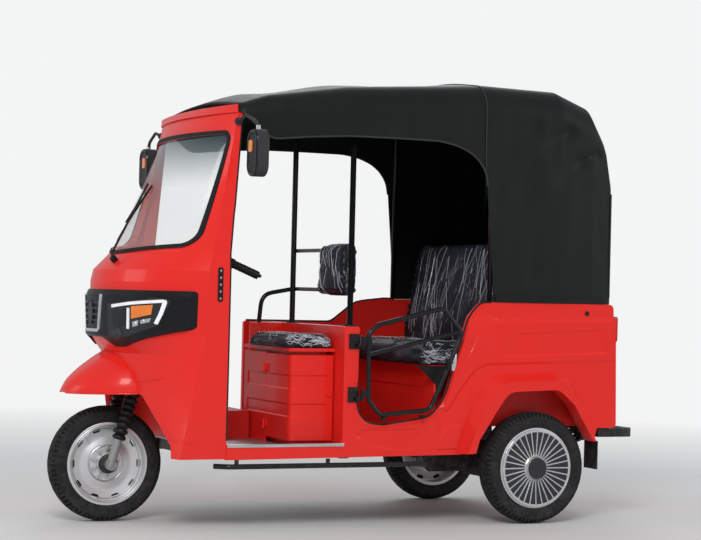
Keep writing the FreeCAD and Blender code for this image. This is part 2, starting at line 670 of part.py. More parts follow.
def make_battery_door():
    # An L-shaped door that wraps the front left corner, hinged on the box's front face.
    skin = size("seat_skin")
    left, front, hinge = size("seat_left"), size("seat_front"), size("door_hinge_y")
    low, top = size("seat_bottom"), size("seat_top") - 4
    rear = size("pillar_front") + 6
    rows = ((front, hinge + 2, 0), (front, left, 28), (rear, left, 0), (rear, left - skin, 0),
            (front - skin, left - skin, 18), (front - skin, hinge + 2, 0))
    door = slab(rows, in_xy(low), UP * (top - low))
    knuckles = []
    for z in hinge_heights():
        knuckles.append(Part.makeCylinder(6, 30, V(front + 6.5, hinge, z), UP))
        knuckles.append(box((front - 1, front + 6), (hinge + 2, hinge + 22), (z, z + 30)))
    lock = Part.makeCylinder(8, 8, V(rear + 18, left, 560), LEFT)
    door = fused([door, lock] + knuckles)
    for z in hinge_heights():
        door = door.cut(Part.makeCylinder(3 + size("running_gap"), 80, V(front + 6.5, hinge, z - 20), UP))
    return feature("battery_door", channelled(door))


def make_battery_block():
    back, front = size("pillar_front") + 25, size("seat_front") - 45
    right, left = size("seat_right") + 25, size("seat_left") - 60
    rows = ((back, right, 0), (front, right, 0), (front, left, 0), (back, left, 0))
    return padded_body("battery_block", "XY_Plane", rows,
                       "sizes.frame_top + sizes.floor_thickness + sizes.joint_gap", "230")


def make_driver_seat():
    back = size("pillar_front") + 3
    front = size("seat_front") + 18
    rows = ((back, size("seat_right") - 6, 20), (front, size("seat_right") - 6, 40), (front, size("seat_left") + 6, 40),
            (back, size("seat_left") + 6, 20))
    cushion = padded_body("driver_cushion", "XY_Plane", rows, "sizes.seat_top + 26 + sizes.joint_gap",
                          "sizes.cushion_thickness")
    add_fillet(cushion, 15)
    pad_rows = ((-75, 967, 40), (405, 967, 40), (405, 1212, 45), (-75, 1212, 45))
    pad = padded_body("driver_backrest", "YZ_Plane", pad_rows, "sizes.pole_x - 5 + sizes.joint_gap", "66")
    add_fillet(pad, 18)
    return cushion, pad


def make_step_box():
    obj = doc.addObject("Part::Box", "step_box")
    obj.setExpression("Length", "110")
    obj.setExpression("Width", "400")
    obj.setExpression("Height", "120")
    obj.setExpression(".Placement.Base.y", "-430")
    obj.setExpression(".Placement.Base.z", "sizes.frame_top + sizes.floor_thickness")
    place(obj, "step_box")
    obj.setExpression(".Placement.Base.x", "sizes.seat_front + 8 " + CENTRE.replace("-(", "- ("))
    return obj


def make_bench():
    top = size("bench_top")
    front = size("bench_front") - 60
    skin = 8
    deck_top = 488
    half = house_inner - 5
    wide = inner_body - 8
    front_wall = box((front - skin, front), (-wide, wide), (floor_top + gap, top - skin))
    front_wall = front_wall.cut(box((front - 4, front + 1), (-357, 357), (floor_top + 50, top - 97)))
    side = box((120, front), (half - skin, half), (deck_top + gap, top - skin))
    foot = box((front - 60, front), (half - skin, half), (floor_top + gap, top - skin))
    lid = box((100, front + 20), (8 - inner_body, inner_body - 8), (top - skin, top))
    shape = fused([front_wall, side, mirrored(side), foot.cut(box((300, 472), (0, 500), (300, 700))), lid])
    return feature("bench_box", shape)


def make_bench_cushions():
    front = size("bench_front")
    half = inner_body - 18
    rows = ((170, -half, 25), (front, -half, 40), (front, half, 40), (170, half, 25))
    cushion = padded_body("bench_cushion", "XY_Plane", rows, "sizes.bench_top + sizes.joint_gap",
                          "sizes.bench_cushion_thickness")
    add_fillet(cushion, 20)
    top = size("bench_top") + size("bench_cushion_thickness")
    thick = size("backrest_thickness")
    back_rows = ((165, size("bench_top") + gap, 15), (165, top + 90, 60), (90, 1235, 30), (90 - thick, 1235, 30),
                 (168 - thick, size("bench_top") + gap, 15))
    body = padded_body("bench_backrest", "XZ_Plane", back_rows, "-(sizes.body_width / 2 - sizes.wall - 23)",
                       "sizes.body_width - 2 * sizes.wall - 46")
    return cushion, body


def make_backrest_board():
    # The board and its two posts that carry the bench backrest.
    foot = size("bench_top") - 8
    rows = ((62, foot + 0, 0), (78, foot + 0, 0), (-4, 1215, 0), (-20, 1215, 0))
    half = inner_body - 48
    stand_half = house_inner - 10
    board = slab(rows, in_xz(-half), LEFT * 2 * half)
    board = board.cut(box((-100, 100), (140 - half, half - 140), (800, 1130)))
    stand = box((60, 98), (-stand_half, stand_half), (488 + gap, foot + 6))
    stand = stand.cut(box((68, 90), (8 - stand_half, stand_half - 8), (480, foot - 2)))
    return feature("backrest_board", board.fuse(stand).cut(box((99, 400), (-half, half), (400, 900))))


# Canopy and its tubes

CANOPY = (
    # x, width past the body's side, shoulder z, ridge z, shoulder radius
    (1412, -13, 1762, 1806, 50), (1270, -3, 1805, 1868, 80), (900, 2, 1862, 1922, 110),
    (240, 2, 1908, 1972, 120), (-120, 2, 1900, 1972, 130), (-290, -10, 1830, 1952, 150),
    (-365, -25, 1700, 1880, 150), (-398, -40, 1560, 1790, 150),
)
CROWNED_SHARE = 0.45


def ridge_radius(half, rise):
    # The roof's arc takes this share of the half width on each side of the ridge.
    return CROWNED_SHARE * half * half / rise


def canopy_rows(row, inset, hem):
    x, past, shoulder, ridge, radius = row
    half, shoulder, ridge = half_body + past - inset, shoulder - inset, ridge - inset
    radius = max(radius - inset, 20)
    return ((half, hem, 0), (half, shoulder, radius), (0, ridge, ridge_radius(half, ridge - shoulder)),
            (-half, shoulder, radius), (-half, hem, 0))


def canopy_loft(inset, hem, front):
    wires = []
    for i, row in enumerate(CANOPY):
        x = row[0]
        if i == 0:
            x += front
        if i == len(CANOPY) - 1:
            x += inset
        wires.append(outline(canopy_rows(row, inset, hem), in_yz(x)))
    return Part.makeLoft(wires, True, True)


def make_canopy():
    hem = size("waist") + gap
    outer = canopy_loft(0, hem, 0)
    inner = canopy_loft(size("canopy_thickness"), hem - 30, 20)
    door_rows = ((211, 900, 0), (256, 1488, 20), (277, 1551, 30), (347, 1617, 60), (494, 1657, 100), (910, 1656, 400),
                 (1273, 1623, 60), (1395, 1728, 0), (1500, 1728, 0), (1500, 900, 0))
    doors = slab(door_rows, in_xz(-700), LEFT * 1400)
    return feature("canopy", outer.cut(inner).cut(doors))


def hoop_points(x, inset, foot):
    stations = [row[0] for row in CANOPY]
    for ahead, behind in zip(CANOPY[:-1], CANOPY[1:]):
        if behind[0] <= x <= ahead[0]:
            share = (x - behind[0]) / (ahead[0] - behind[0])
            row = [b + (a - b) * share for a, b in zip(ahead, behind)]
    half, shoulder, ridge = half_body + row[1] - inset, row[2] - inset, row[3] - inset
    return [V(x, half, foot), V(x, half, shoulder), V(x, 0, ridge), V(x, -half, shoulder), V(x, -half, foot)], row[4]


def hoop(x, foot, radius):
    # A bent tube just inside the canopy, from one foot over the roof to the other.
    inset = size("canopy_thickness") + radius + 3
    points, bend = hoop_points(x, inset, foot)
    half, rise = points[0].y, points[2].z - points[1].z
    bends = [0, bend, ridge_radius(half, rise), bend, 0]
    corners = list(zip(points, bends))
    path = Part.Wire([edge.toShape() for edge in rounded_edges(corners, False)])
    ring = Part.Wire([Part.makeCircle(radius, points[0], UP)])
    return path.makePipeShell([ring], True, False)


def make_canopy_frame():
    radius = size("tube_radius")
    pole = size("pole_radius")
    waist = size("waist")
    parts = [hoop(225, waist + gap, radius)]
    rear = hoop(-270, waist + gap, radius)
    parts.append(rear)
    roof_points, bend = hoop_points(size("pole_x"), size("canopy_thickness") + radius + 3, 1700)
    y = size("pole_y")
    for side in (-1, 1):
        parts.append(Part.makeCylinder(pole, 985, V(size("pole_x"), side * y, size("pillar_top") + gap), UP))
        parts.append(Part.makeCylinder(30, 6, V(size("pole_x"), side * y, size("pillar_top") + gap), UP))
    bow = [V(size("pole_x"), side * y, 1820) for side in (1, -1)]
    bow.insert(1, V(size("pole_x"), 0, 1888))
    parts.append(tube(bow, radius, 600))
    rail_rows = ((1395, 90, 1757), (1270, 82, 1790), (size("pole_x"), 72, 1830), (225, 74, 1868), (-270, 90, 1825))
    rail_path = [V(x, half_body - inset, z) for x, inset, z in rail_rows]
    for side in (-1, 1):
        parts.append(tube([V(p.x, side * p.y, p.z) for p in rail_path], radius - 2, 100))
    front_bow = [V(1395, half_body - 70, 1750), V(1395, 0, 1778), V(1395, 70 - half_body, 1750)]
    parts.append(tube(front_bow, radius - 2, 500))
    for z in (1006, 1168):
        parts.append(Part.makeCylinder(10, 2 * y, V(size("pole_x") - 15, -y, z), LEFT))
    rail = [V(size("pole_x"), -y, 1002), V(965, -y - 30, 990), V(965, -half_body + 11, size("pillar_top") + 2)]
    parts.append(tube(rail, 10, 60))
    return feature("canopy_frame", fused(parts))


# Rear fittings

def make_rear_bumper():
    rear = -size("rear_overhang")
    low = size("bumper_bottom")
    half = half_body - 20
    rows = ((rear, -half, 40), (rear, half, 40), (-345, half, 0), (-345, half - 28, 0), (rear + 34, half - 28, 20),
            (rear + 34, 28 - half, 20), (-345, 28 - half, 0), (-345, -half, 0))
    bar = slab(rows, in_xy(low), UP * size("bumper_height"))
    arm = box((rear + 20, -345), (rail_y - 22, rail_y + 22), (low, low + size("bumper_height")))
    lug = box((-388, -345), (rail_y - 22, rail_y + 22), (low, 432 - gap))
    return feature("rear_bumper", fused([bar, arm, mirrored(arm), lug, mirrored(lug)]))


def make_mud_flaps():
    wheel_y = size("rear_track") / 2
    flap = box((-310, -304), (wheel_y - 55, wheel_y + 53), (235, 361))
    hanger = box((-312, -300), (wheel_y - 25, half_body - 2), (340, 362 - gap))
    return feature("mud_flaps", both_sides(flap.fuse(hanger)))


def make_tail_lamps():
    inner, outer = half_body - 138, half_body - 32
    low, high = size("waist") - 168, size("waist") - 53
    rows = ((inner, low, 12), (outer, low, 12), (outer, high, 12), (inner, high, 12))
    lamp = slab(rows, in_yz(rear_plane - gap - 30), FORWARD * 30)
    return feature("tail_lamps", both_sides(lamp))


# Gate on the passenger doorway

GATE = ((832, 822), (825, 544), (772, 480), (536, 501), (386, 832), (480, 938), (791, 861))
HINGES = (555, 780)


def make_gate():
    radius = size("gate_tube_radius")
    y = gate_y
    loop = tube_loop([V(x - 12, y, z) for x, z in GATE], radius, 40)
    rail = Part.makeCylinder(radius - 1, 400, V(813, y, 735), V(-0.972, 0, 0.236))
    parts = [loop, rail]
    for z in HINGES:
        parts.append(Part.makeCylinder(9, 32, V(size("gate_hinge_x"), y, z), UP))
        parts.append(box((806, size("gate_hinge_x")), (y - 5, y + 5), (z + 2, z + 30)))
    gate = fused(parts)
    for z in HINGES:
        gate = gate.cut(Part.makeCylinder(size("hinge_pin_radius") + gap, 60, V(size("gate_hinge_x"), y, z - 10), UP))
    return feature("gate", gate)


def make_gate_hinges():
    y = gate_y
    parts = []
    for z in HINGES:
        leaf = box((853, 900), (half_body + gap, half_body + 6), (z - 22, z + 42))
        arm = box((size("gate_hinge_x"), 870), (half_body + 1, y), (z - 14, z - 1))
        lug = Part.makeCylinder(9, 13, V(size("gate_hinge_x"), y, z - 14), UP)
        pin = Part.makeCylinder(size("hinge_pin_radius"), 44, V(size("gate_hinge_x"), y, z - 14), UP)
        parts.append(fused([leaf, arm, lug, pin]))
    return feature("gate_hinges", Part.makeCompound(parts))


# Wheels: each piece is made at the origin with its axle along Y, outer face to +Y

def revolved(rows):
    # Rows are (y, radius, corner radius).
    face = Part.Face(outline(rows, lambda a, b: V(b, a, 0)))
    return face.revolve(V(0, 0, 0), LEFT, 360)


def tyre_shape():
    half = size("tyre_width") / 2
    bead = size("rim_width") / 2 - 4.5
    seat = size("rim_diameter") / 2 - 11
    flange = size("rim_diameter") / 2 + 1
    rows = ((-bead, seat, 0), (-bead, flange, 0), (-half, flange + 18, 14), (-half, tyre_radius - 26, 22),
            (-half + 20, tyre_radius - 4, 18), (0, tyre_radius, 0), (half - 20, tyre_radius - 4, 18),
            (half, tyre_radius - 26, 22), (half, flange + 18, 14), (bead, flange, 0), (bead, seat, 0))
    return revolved(rows)


def rim_shape(bore, hub_half):
    half = size("rim_width") / 2
    lip = size("rim_diameter") / 2
    seat = lip - 12
    rows = ((-half, lip, 2), (-half + 4, lip, 0), (-half + 4, seat, 0), (half - 4, seat, 0), (half - 4, lip, 0),
            (half, lip, 2), (half, seat - 4, 3), (26, seat - 4, 6), (12, 112, 20), (22, 84, 14), (22, 46, 0),
            (hub_half, 40, 4), (hub_half, bore, 0), (-hub_half, bore, 0), (-hub_half, 34, 4), (12, 40, 6),
            (12, 80, 14), (2, 108, 20), (14, seat - 4, 6), (-half, seat - 4, 3))
    wheel = revolved(rows)
    count = int(size("slot_count"))
    slot_rows = ((136, -18, 9), (154, -18, 9), (154, 18, 9), (136, 18, 9))
    slot = Part.Face(outline(slot_rows, lambda a, b: V(a, -60, b))).extrude(LEFT * 120)
    slots = []
    for i in range(count):
        turned = slot.copy()
        turned.rotate(V(0, 0, 0), LEFT, 360 * i / count)
        slots.append(turned)
    return wheel.cut(Part.makeCompound(slots))


def cover_shape(hub_half):
    # A dished trim disc with radial spokes between two rings.
    edge = size("cover_radius")
    face = size("rim_width") / 2 + gap
    rows = ((face, edge - 14, 0), (face, edge, 0), (face + 8, edge, 3), (face + 8, edge - 10, 3), (face - 3, 60, 6),
            (face + 4, 52, 3), (face + 16, 44, 3), (face + 16, 0, 0), (face + 10, 0, 0), (face + 10, 36, 0),
            (face - 8, 54, 0), (face - 8, 64, 0), (face - 1, edge - 14, 0))
    disc = revolved(rows)
    spokes = []
    count = int(size("spoke_count"))
    for i in range(count):
        rows = ((face - 4, 56, 0), (face + 1, 56, 0), (face + 9, edge - 6, 0), (face + 2, edge - 6, 0))
        rib = Part.Face(outline(rows, lambda a, b: V(-2, a, b))).extrude(FORWARD * 4)
        rib.rotate(V(0, 0, 0), LEFT, 360 * i / count)
        spokes.append(rib)
    return fused([disc] + spokes)


def make_wheels():
    rear_y = size("rear_track") / 2
    front_rim = rim_shape(size("front_axle_radius") + size("running_gap"), 56)
    tyre = tyre_shape()
    feature("front_tyre", tyre.translated(front_centre))
    feature("front_rim", front_rim.translated(front_centre))
    rear_rim = rim_shape(size("axle_radius") + size("running_gap"), 44)
    cover = cover_shape(44)
    for side, word in ((1, "left"), (-1, "right")):
        centre = V(0, side * rear_y, tyre_radius)
        pieces = [tyre, rear_rim, cover] if side > 0 else [tyre, mirrored(rear_rim), mirrored(cover)]
        for piece, name in zip(pieces, ("tyre", "rim", "cover")):
            feature("rear_%s_%s" % (name, word), piece.translated(centre))


# Front fork and handlebar, which turn about the raked steering axis

def make_fork():
    half, offset = size("fork_half_width"), size("fork_offset")
    crown_low = size("head_low") - 32
    parts = []
    for side in (-1, 1):
        foot = along(0, offset, side * half)
        parts.append(Part.makeCylinder(size("leg_radius"), crown_low + 20, along(-10, offset, side * half), steer_axis))
        parts.append(Part.makeCylinder(24, 30, foot - LEFT * 15, LEFT))
    brake_plate = Part.makeCylinder(72, 6, front_centre - LEFT * 68, LEFT)
    corner = [(a, b, 20) for a, b in ((-30, -half - 28), (offset + 30, -half - 28), (offset + 30, half + 28),
                                      (-30, half + 28))]
    crown = Part.Face(outline(corner, lambda a, b: along(crown_low, a, b))).extrude(steer_axis * 26)
    stem = Part.makeCylinder(size("stem_radius"), size("handlebar_rise") - crown_low, along(crown_low), steer_axis)
    axle = Part.makeCylinder(size("front_axle_radius"), 2 * half + 30, front_centre - LEFT * (half + 15), LEFT)
    clamp = Part.makeCylinder(26, 40, along(size("handlebar_rise") - 30), steer_axis)
    return feature("front_fork", fused(parts + [crown, stem, axle, clamp, brake_plate]))


def make_bellows():
    radius = size("leg_radius") + gap
    start, pitch, count = 110, 16, 17
    rows = [(start, radius, 0)]
    for i in range(count):
        rows += [(start + i * pitch + 4, radius + 9, 0), (start + i * pitch + 10, radius + 9, 0),
                 (start + i * pitch + 14, radius + 4, 0)]
    rows += [(start + count * pitch, radius + 4, 0), (start + count * pitch, radius, 0)]
    ring = Part.Face(outline(rows, lambda a, b: V(b, 0, a))).revolve(V(0, 0, 0), UP, 360)
    boots = []
    for side in (-1, 1):
        boot = ring.copy()
        boot.rotate(V(0, 0, 0), LEFT, -size("rake"))
        boots.append(boot.translated(along(0, size("fork_offset"), side * size("fork_half_width"))))
    return feature("fork_bellows", Part.makeCompound(boots))


def handlebar_points(side):
    top = size("handlebar_rise") - 10
    return [along(top, 0, 0), along(top + 62, -8, side * 130), along(top + 84, -110, side * 318),
            along(top + 69, -253, side * 332)]


def make_handlebar():
    bars = []
    for side in (-1, 1):
        bars.append(tube(handlebar_points(side), 11, 60))
    bar = fused(bars)
    stem_room = Part.makeCylinder(26 + gap, 200, along(size("handlebar_rise") - 100), steer_axis)
    return feature("handlebar", bar.cut(stem_room))


def make_grips():
    grips = []
    for side in (-1, 1):
        points = handlebar_points(side)
        direction = (points[3] - points[2]).normalize()
        start = points[3] - direction * size("grip_length")
        grip = Part.makeCylinder(17, size("grip_length") + 6, start, direction)
        grips.append(grip.cut(Part.makeCylinder(11 + gap, size("grip_length"), start, direction)))
    return feature("grips", Part.makeCompound(grips))


make_chassis_frame()
make_steering_neck()
make_floor_pan()
make_rear_deck()
make_rear_axle()
make_motor_block()
make_rear_springs()
make_side_steps()
make_body_sides()
make_arch_flares()
make_rear_panel()
make_partition()
make_front_cowl()
make_windscreen()
make_lamp_panel()
make_headlamps()
make_grille()
make_front_fender()
make_toe_board()
make_brow_visor()
make_wiper()
make_mirrors()
make_seat_box()
make_seat_lid()
make_battery_door()
make_battery_block()
make_driver_seat()
make_step_box()
make_bench()
make_bench_cushions()
make_backrest_board()
make_canopy()
make_canopy_frame()
make_rear_bumper()
make_mud_flaps()
make_tail_lamps()
make_gate()
make_gate_hinges()
make_wheels()
make_fork()
make_bellows()
make_handlebar()
make_grips()
doc.recompute()

for obj in doc.Objects:
    if "Invalid" in obj.State or "Error" in obj.State:
        raise RuntimeError("%s failed: %s" % (obj.Name, obj.State))
for obj in sub_parts:
    if obj.Shape.isNull() or not obj.Shape.isValid() or obj.Shape.Volume < 1:
        raise RuntimeError("%s has no valid solid" % obj.Label)

os.makedirs("parts", exist_ok=True)
for obj in sub_parts:
    obj.Shape.exportStep("parts/%s.step" % obj.Label)
print("wrote", len(sub_parts), "sub-parts")
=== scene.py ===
import json
import math
import random

import bmesh
import bpy
from mathutils import Matrix, Vector, noise
from mathutils.bvhtree import BVHTree


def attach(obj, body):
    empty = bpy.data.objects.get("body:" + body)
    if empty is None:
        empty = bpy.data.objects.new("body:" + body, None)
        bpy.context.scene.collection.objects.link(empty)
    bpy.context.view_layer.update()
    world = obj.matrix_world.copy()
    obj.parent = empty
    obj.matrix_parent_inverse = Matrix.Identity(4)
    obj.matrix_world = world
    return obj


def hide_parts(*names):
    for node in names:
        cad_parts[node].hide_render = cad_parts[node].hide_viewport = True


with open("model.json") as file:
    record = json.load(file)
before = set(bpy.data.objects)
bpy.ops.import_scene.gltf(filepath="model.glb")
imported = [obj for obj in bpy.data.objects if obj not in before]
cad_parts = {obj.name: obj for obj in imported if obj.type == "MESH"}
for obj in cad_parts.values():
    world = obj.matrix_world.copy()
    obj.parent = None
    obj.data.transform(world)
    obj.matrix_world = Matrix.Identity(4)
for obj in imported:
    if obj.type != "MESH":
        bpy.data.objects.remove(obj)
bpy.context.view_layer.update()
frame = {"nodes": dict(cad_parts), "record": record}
nodes = frame["nodes"]
random.seed(7)
axleX = -0.7555  # the rear axle's place; stations below are measured from it


def station(x):
    return x + axleX


# building materials
class Graph:
    # a node tree with short ways to add and join nodes
    def __init__(self, tree):
        self.tree = tree

    def node(self, kind, settings=(), **inputs):
        made = self.tree.nodes.new("ShaderNode" + kind)
        for key, value in dict(settings).items():
            setattr(made, key, value)
        for key, value in inputs.items():
            self.join(value, made.inputs[key.replace("_", " ")])
        return made

    def join(self, value, socket):
        if isinstance(value, bpy.types.NodeSocket):
            self.tree.links.new(value, socket)
        else:
            socket.default_value = value

    def math(self, operation, a, b=0.0):
        made = self.node("Math", {"operation": operation})
        self.join(a, made.inputs[0])
        self.join(b, made.inputs[1])
        return made.outputs[0]

    def spread(self, value, low, high, start=0.0, end=1.0):
        made = self.node("MapRange", {"clamp": True})
        for socket, given in zip(made.inputs, (value, low, high, start, end)):
            self.join(given, socket)
        return made.outputs[0]

    def mix(self, share, a, b):
        made = self.node("Mix", {"data_type": "RGBA"})
        self.join(share, made.inputs[0])
        self.join(a, made.inputs[6])
        self.join(b, made.inputs[7])
        return made.outputs[2]

    def noise(self, where, scale, detail=3.0, roughness=0.55):
        return self.node("TexNoise", Vector=where, Scale=scale, Detail=detail, Roughness=roughness).outputs["Fac"]


def startMaterial(name):
    # a new material, its graph and its Principled shader
    made = bpy.data.materials.new(name)
    made.use_nodes = True
    return made, Graph(made.node_tree), made.node_tree.nodes["Principled BSDF"]


# stage, camera and light
view = {"place": (3.4845, 7.921, 1.002), "yaw": 24.251, "pitch": 0.626, "roll": 1.385, "lens": 99.0}


def makeCamera():
    yaw, pitch, roll = (math.radians(view[k]) for k in ("yaw", "pitch", "roll"))
    ahead = Vector((-math.sin(yaw) * math.cos(pitch), -math.cos(yaw) * math.cos(pitch), math.sin(pitch)))
    right = Vector((-math.cos(yaw), math.sin(yaw), 0))
    up = right.cross(ahead)
    turned = math.cos(roll) * right + math.sin(roll) * up
    top = -math.sin(roll) * right + math.cos(roll) * up
    camera = bpy.data.objects.new("camera", bpy.data.cameras.new("camera"))
    camera.data.lens, camera.data.sensor_width = view["lens"], 36
    camera.data.clip_start, camera.data.clip_end = 0.1, 200
    turn = Matrix((turned, top, -ahead)).transposed()
    camera.matrix_world = Matrix.Translation(view["place"]) @ turn.to_4x4()
    bpy.context.scene.collection.objects.link(camera)
    bpy.context.scene.camera = camera


light = {"sky": 0.5, "skyColour": (0.93, 0.96, 1.0), "floor": (0.76, 0.76, 0.75), "floorRadius": 45,
         "backdrop": (0.9, 0.905, 0.91), "fade": (3.0, 7.5), "aim": (0, 0, 0.7),
         "lamps": (("key", (3.6, 6.4, 5.6), 2.6, 290), ("fill", (-6.0, 4.5, 3.2), 3.5, 70),
                   ("rim", (-3.0, -6.0, 5.0), 4.0, 100), ("front", (7.5, -1.5, 3.0), 3.0, 70))}


def makeWorld():
    # soft light on the object, and the plain backdrop for the camera and through glass
    world = bpy.data.worlds.new("studio")
    bpy.context.scene.world = world
    world.use_nodes = True
    tree = world.node_tree
    tree.nodes.clear()
    g = Graph(tree)
    path = g.node("LightPath")
    seen = g.math("MAXIMUM", path.outputs["Is Camera Ray"], path.outputs["Is Transmission Ray"])
    lit = g.node("Background", Color=(*light["skyColour"], 1), Strength=light["sky"])
    shown = g.node("Background", Color=(*light["backdrop"], 1), Strength=1.0)
    mix = g.node("MixShader", Fac=seen)
    g.join(lit.outputs[0], mix.inputs[1])
    g.join(shown.outputs[0], mix.inputs[2])
    g.join(mix.outputs[0], g.node("OutputWorld").inputs["Surface"])


def makeFloor():
    bm = bmesh.new()
    bmesh.ops.create_circle(bm, cap_ends=True, segments=96, radius=light["floorRadius"])
    mesh = bpy.data.meshes.new("floor")
    bm.to_mesh(mesh)
    bm.free()
    floor = bpy.data.objects.new("floor", mesh)
    bpy.context.scene.collection.objects.link(floor)
    made, g, shader = startMaterial("stageFloor")
    shader.inputs["Base Color"].default_value = (*light["floor"], 1)
    shader.inputs["Roughness"].default_value = 0.75
    shader.inputs["Specular IOR Level"].default_value = 0.2
    where = g.node("TexCoord").outputs["Object"]
    away = g.node("VectorMath", {"operation": "LENGTH"}, Vector=where).outputs["Value"]
    g.join(g.spread(away, *light["fade"], 1.0, 0.0), shader.inputs["Alpha"])  # the floor melts into the backdrop
    mesh.materials.append(made)


def makeStudioLamps():
    for name, place, width, power in light["lamps"]:
        lamp = bpy.data.lights.new(name, "AREA")
        lamp.size, lamp.energy = width, power
        holder = bpy.data.objects.new(name, lamp)
        holder.location = place
        holder.rotation_euler = (Vector(light["aim"]) - Vector(place)).to_track_quat("-Z", "Y").to_euler()
        bpy.context.scene.collection.objects.link(holder)


makeCamera()
makeWorld()
makeFloor()
makeStudioLamps()
bpy.context.scene.view_settings.view_transform = "Standard"
print("stage and camera made")


# shared effects, as node groups
def effect(name, inputs, outputs, build):
    # one node group; inputs and outputs are (name, kind, value)
    tree = bpy.data.node_groups.new(name, "ShaderNodeTree")
    for label, kind, value in inputs:
        socket = tree.interface.new_socket(label, in_out="INPUT", socket_type="NodeSocket" + kind)
        if value is not None:
            socket.default_value = value
    for label, kind in outputs:
        tree.interface.new_socket(label, in_out="OUTPUT", socket_type="NodeSocket" + kind)
    g = Graph(tree)
    source = tree.nodes.new("NodeGroupInput")
    sink = tree.nodes.new("NodeGroupOutput")
    for label, value in build(g, {s.name: s for s in source.outputs}).items():
        g.join(value, sink.inputs[label])
    return tree


def buildSurface(g, given):
    # uneven colour, a dusty lower edge and a fine texture; used by paint, plastic and rubber
    where = g.node("TexCoord").outputs["Object"]
    patch = g.spread(g.noise(where, given["Patch Scale"], 4), 0.3, 0.7)
    toned = g.mix(g.math("MULTIPLY", patch, given["Patch Amount"]), given["Color"], given["Second Color"])
    height = g.node("SeparateXYZ", Vector=where).outputs["Z"]
    low = g.spread(height, 0.75, 0.12)
    speck = g.spread(g.noise(where, 34.0, 6, 0.7), 0.42, 0.72)
    dust = g.math("MULTIPLY", g.math("MULTIPLY", low, speck), given["Dust"])
    colour = g.mix(dust, toned, (0.36, 0.33, 0.29, 1))
    worn = g.math("MULTIPLY", g.spread(g.noise(where, 9.0, 5), 0.35, 0.75), given["Roughness Spread"])
    rough = g.math("ADD", g.math("ADD", given["Roughness"], worn), g.math("MULTIPLY", dust, 0.35))
    grain = g.noise(where, given["Grain Scale"], 3, 0.6)
    return {"Color": colour, "Roughness": rough, "Height": grain}


surfaceEffect = effect(
    "unevenSurface",
    (("Color", "Color", (0.5, 0.5, 0.5, 1)), ("Second Color", "Color", (0.4, 0.4, 0.4, 1)),
     ("Patch Scale", "Float", 2.0), ("Patch Amount", "Float", 0.5), ("Dust", "Float", 0.2),
     ("Roughness", "Float", 0.4), ("Roughness Spread", "Float", 0.1), ("Grain Scale", "Float", 300.0)),
    (("Color", "Color"), ("Roughness", "Float"), ("Height", "Float")), buildSurface)


def buildWeave(g, given):
    # crossed threads on the piece's own UV map, under a thin coating
    along = g.node("UVMap", {"uv_map": "cloth"}).outputs["UV"]
    parts = g.node("SeparateXYZ", Vector=along)
    threads = []
    for axis in ("X", "Y"):
        wave = g.math("SINE", g.math("MULTIPLY", parts.outputs[axis], given["Threads"]))
        threads.append(g.math("ABSOLUTE", wave))
    woven = g.math("MAXIMUM", threads[0], threads[1])
    where = g.node("TexCoord").outputs["Object"]
    chalk = g.spread(g.noise(where, 3.2, 6, 0.65), 0.4, 0.75)
    streak = g.noise(g.node("Mapping", Vector=where, Scale=(26, 26, 4)).outputs[0], 1.0, 4, 0.6)
    worn = g.math("MULTIPLY", chalk, g.spread(streak, 0.35, 0.7))
    colour = g.mix(g.math("MULTIPLY", worn, given["Wear"]), given["Color"], given["Worn Color"])
    rough = g.math("ADD", given["Roughness"], g.math("MULTIPLY", worn, 0.12))
    return {"Color": colour, "Roughness": rough, "Height": woven}


weaveEffect = effect(
    "coatedWeave",
    (("Color", "Color", (0.02, 0.02, 0.02, 1)), ("Worn Color", "Color", (0.05, 0.05, 0.05, 1)),
     ("Wear", "Float", 0.5), ("Threads", "Float", 2200.0), ("Roughness", "Float", 0.5)),
    (("Color", "Color"), ("Roughness", "Float"), ("Height", "Float")), buildWeave)


def buildHide(g, given):
    # small pebbled cells of seat vinyl
    where = g.node("TexCoord").outputs["Object"]
    cells = g.node("TexVoronoi", {"feature": "DISTANCE_TO_EDGE"}, Vector=where, Scale=given["Cell Scale"])
    pebble = g.spread(cells.outputs["Distance"], 0.0, 0.35)
    shade = g.noise(where, 5.0, 4)
    colour = g.mix(g.spread(shade, 0.35, 0.75), given["Color"], given["Second Color"])
    rough = g.math("ADD", given["Roughness"], g.math("MULTIPLY", shade, 0.15))
    return {"Color": colour, "Roughness": rough, "Height": pebble}


hideEffect = effect(
    "pebbledVinyl",
    (("Color", "Color", (0.03, 0.03, 0.035, 1)), ("Second Color", "Color", (0.05, 0.05, 0.055, 1)),
     ("Cell Scale", "Float", 420.0), ("Roughness", "Float", 0.4)),
    (("Color", "Color"), ("Roughness", "Float"), ("Height", "Float")), buildHide)


def buildFilm(g, given):
    # a nearly clear sheet with thin creases in patches; the creases are painted highlights, drawn as whiter, more
    # opaque lines
    where = g.node("TexCoord").outputs["Object"]
    drawn = g.node("Mapping", Vector=where, Scale=given["Stretch"]).outputs[0]
    fine = g.noise(drawn, 1.0, 4, 0.62)
    thin = g.spread(g.math("ABSOLUTE", g.math("SUBTRACT", fine, 0.5)), 0.0, 0.011, 1.0, 0.0)
    wide = g.noise(drawn, 0.45, 3, 0.5)
    broad = g.spread(g.math("ABSOLUTE", g.math("SUBTRACT", wide, 0.52)), 0.0, 0.02, 1.0, 0.0)
    patch = g.spread(g.noise(where, 7.0, 3), 0.46, 0.66)
    # the crease lines: painted highlight, where the white film is made more opaque
    line = g.math("MULTIPLY", g.math("MAXIMUM", thin, g.math("MULTIPLY", broad, 0.8)), patch)
    clear = g.math("ADD", given["Haze"], g.math("MULTIPLY", line, given["Crease Haze"]))
    return {"Alpha": clear, "Height": g.math("ADD", g.math("MULTIPLY", line, 0.6), g.math("ADD", fine, wide))}


